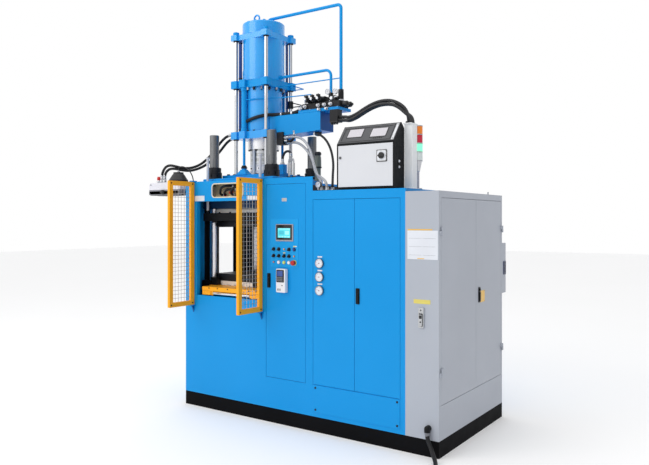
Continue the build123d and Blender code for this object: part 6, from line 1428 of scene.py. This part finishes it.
def add_extra_hoses():
    # hose wrapped round the front of the body, then along the beam to the valves
    wrap = [(*circle(AX, AY, radius, radians(degrees)), z) for radius, degrees, z in (
        (0.15, 212, 2.518), (0.176, 217, 2.522), (0.189, 228, 2.53), (0.189, 240, 2.538),
        (0.189, 252, 2.547), (0.189, 264, 2.557), (0.189, 276, 2.567), (0.189, 288, 2.577),
        (0.189, 300, 2.587), (0.189, 311, 2.5955))]
    along = route_mm(
        -640, -172, 2600, -590, -152, 2598.5, -520, -140, 2598.3, -440, -132, 2598.3, -380, -130, 2600,
        -335, -130, 2612, -315, -130, 2628, -297, -130, 2638)
    rigid_hose("wrap_hose", wrap + along, 0.0155, "injection", hose_rubber, fitted=(-1,))
    second = [(-0.6, -0.128, 2.598)] + [(x, y + 0.028, z) for x, y, z in along[2:]]
    rigid_hose("beam_hose", second, 0.0135, "injection", hose_rubber)
    clips = Shape(zinc)
    for x in (-0.52, -0.4):
        clips.panel("X", (x - 0.009, -0.156, 2.5845), (x + 0.009, -0.09, 2.6135), 0.008)
    clips.make("beam_hose_clips", "injection", bevel=0.001)
    # hose under the beam
    rigid_hose("under_hose", route_mm(
        -482, -146, 2356, -450, -146, 2352, -418, -146, 2348, -392, -146, 2356, -374, -146, 2378,
        -370, -146, 2406, -370, -146, 2434.5), 0.011, "injection", hose_rubber)
    # fixed pipe stub from the post
    rigid_hose("post_pipe", route_mm(
        -536, -104, 2166, -536, -104, 2196, -532, -104, 2222, -520, -104, 2246, -503, -104, 2262,
        -480, -104, 2268, -455, -104, 2262, -441, -103, 2244,
        -441, -101, 2215), 0.011, "root", dark_steel, cord=False)
    tee = Shape(zinc)
    tee.nut((-0.441, -0.1, 2.176), "Z", 0.03, 0.026)
    tee.rod((-0.441, -0.1, 2.16), (-0.441, -0.101, 2.214), 0.01, 18)
    tee.make("post_pipe_tee", "root")
    # accumulator on the roof
    tank = Shape(tank_green, black_plastic, dark_steel)
    tank.turned((-0.148, -0.1, 1.99), "Z", 32, 0, 0, 34, 0, 34, 10, 26, 12, 26, 110, 30, 112, 30, 150,
        28, 205, 22, 222, 0, 224)
    tank.use(1).turned((-0.148, -0.1, 2.21), "Z", 32, 0, 0, 24, 0, 30, 6, 30, 22, 22, 32, 0, 33)
    tank.use(2).turned((-0.148, -0.1, 2.1), "Z", 28, 25.8, 0, 33, 0, 33, 12, 25.8, 12)
    tank.make("roof_accumulator", "root")
    # roof fittings near the hoses
    fit = Shape(zinc, black_plastic, label_white, dark_steel, black_paint)
    fit.turned((0.19, -0.572, 1.878), "Z", 18, 0, 0, 9, 0, 9, 22, 0, 22)
    fit.use(1).turned((0.19, -0.56, 1.926), "-Y", 32, 0, 0, 26, 0, 27, 3, 27, 18, 24.5, 20, 24.5, 16, 0, 16)
    fit.use(2).turned((0.19, -0.56, 1.926), "-Y", 32, 0, 16.2, 24.3, 16.2, 24.3, 16.8, 0, 16.8)
    fit.use(3).rod((0.19, -0.577, 1.926), (0.203, -0.577, 1.938), 0.0012, 8)
    fit.panels("Z", (4, 176, -590, 1877.5, 352, -408, 1882.5, 10))
    for x, y in ((0.198, -0.546), (0.238, -0.522), (0.238, -0.446)):
        fit.use(0).turned((x, y, 1.8825), "Z", 22, 11.2, -1, 19, -1, 19, 8, 15, 12, 15, 24, 11.2, 26)
    for x, y in product((0.188, 0.34), (-0.578, -0.42)):
        fit.use(3).socket_screw((x, y, 1.8823), "Z", 0.005, 0.0045)
    fit.make("roof_fittings", "root")
    collars = Shape(zinc, white_metal)
    for x, y, z in ((-0.446, -0.125, 2.34), (-0.446, -0.15, 2.385)):
        collars.nut((x - 0.02, y, z), "X", 0.03, 0.014)
    collars.make("braided_hose_nuts", "injection")


def add_wiring_ducts():
    """Slotted trunking between the rows of the mounting plate, inside the electrical cabinet"""
    trunking = Shape(grey_plastic, black_plastic)
    for row in range(4):
        z = 0.68 + row * 0.24
        trunking.use(0).panel("X", (1.0025, -0.49, z - 0.02), (1.052, 0.49, z + 0.02), 0.003)
        for step in range(38):
            y = -0.476 + step * 0.0257
            trunking.use(1).box((1.015, y - 0.004, z - 0.0206), (1.048, y + 0.004, z + 0.0206))
    trunking.make("wiring_ducts", "root")


# Left side unit
def add_side_unit():
    parts = Shape(white_plastic, grey_plastic, black_plastic, needle_red, zinc, dark_steel)
    parts.use(1).panel("Y", (-1.6985, -0.645, 1.8795), (-1.292, -0.61, 1.915), 0.014, 6)
    parts.panels("Y", (2, -1680, -644, 1876, -1310, -476, 1882, 2))
    parts.use(2).turned((-1.505, -0.645, 1.905), "-Y", 28, 0, -1, 21, -1, 21, 10, 16.5, 14, 16.5, 24, 10, 28,
        0, 28)
    for x in (-1.66, -1.62, -1.58):
        parts.use(4).turned((x, -0.56, 2.024), "Z", 24, 14.2, -22, 18.5, -20, 18.5, -6, 16, -2, 14.2, -2)
    parts.use(3).turned((-1.66, -0.56, 2.022), "Z", 26, 0, 0, 15, 0, 16.5, 4, 16.5, 26, 12, 34, 0, 34)
    parts.use(5).turned((-1.395, -0.56, 2.018), "Z", 44, 85, -24, 88.5, -22, 88.5, -4, 85, 0)
    parts.use(4).turned((-1.395, -0.56, 2.087), "Z", 22, 0, 0, 15, 0, 15, 8, 9, 12, 9, 20, 0, 20)
    for x in (-1.672, -1.318):
        parts.use(5).socket_screw((x, -0.645, 1.975), "-Y", 0.005, 0.004)
    parts.make("side_unit_parts", "root")
    path, length = spline_path("cup_cable_line", route_mm(
        -1395, -560, 2100, -1395, -560, 2125, -1375, -556, 2140, -1340, -545, 2138, -1300, -528, 2112,
        -1272, -510, 2066, -1262, -500, 2010, -1262, -500, 1950, -1262, -500, 1892))
    cable = Shape(black_plastic).tube(path, 0.0048, 12)
    Shape(zinc).turned((-1.262, -0.5, 1.892), "Z", 18, 0, -12, 9, -12, 9, 6, 5.2, 14,
        4.8, 14).make("cup_cable_gland", "root")
    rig.cord(cable.make("cup_cable", "root"), exit=path[0], length=length, diameter=0.0096, far_end="object",
            stiffness="medium", lay="loose", path=path)


add_camera()
add_stage()
dress_nodes()
add_supply_cable()
add_hoses()
add_guards()
add_casing_details()
add_table_details()
add_control_door()
add_gauges()
add_kick_screws()
add_electrical_details()
add_console()
add_tower()
add_injection_details()
add_base_details()
add_nut_details()
add_valves()
add_extra_hoses()
add_side_unit()
add_wiring_ducts()

visual_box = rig.bounds()
with open("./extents.json", "w") as size_file:
    json.dump({"cad": [list(corner) for corner in cad_box], "visual": [list(corner) for corner in visual_box]}, size_file)
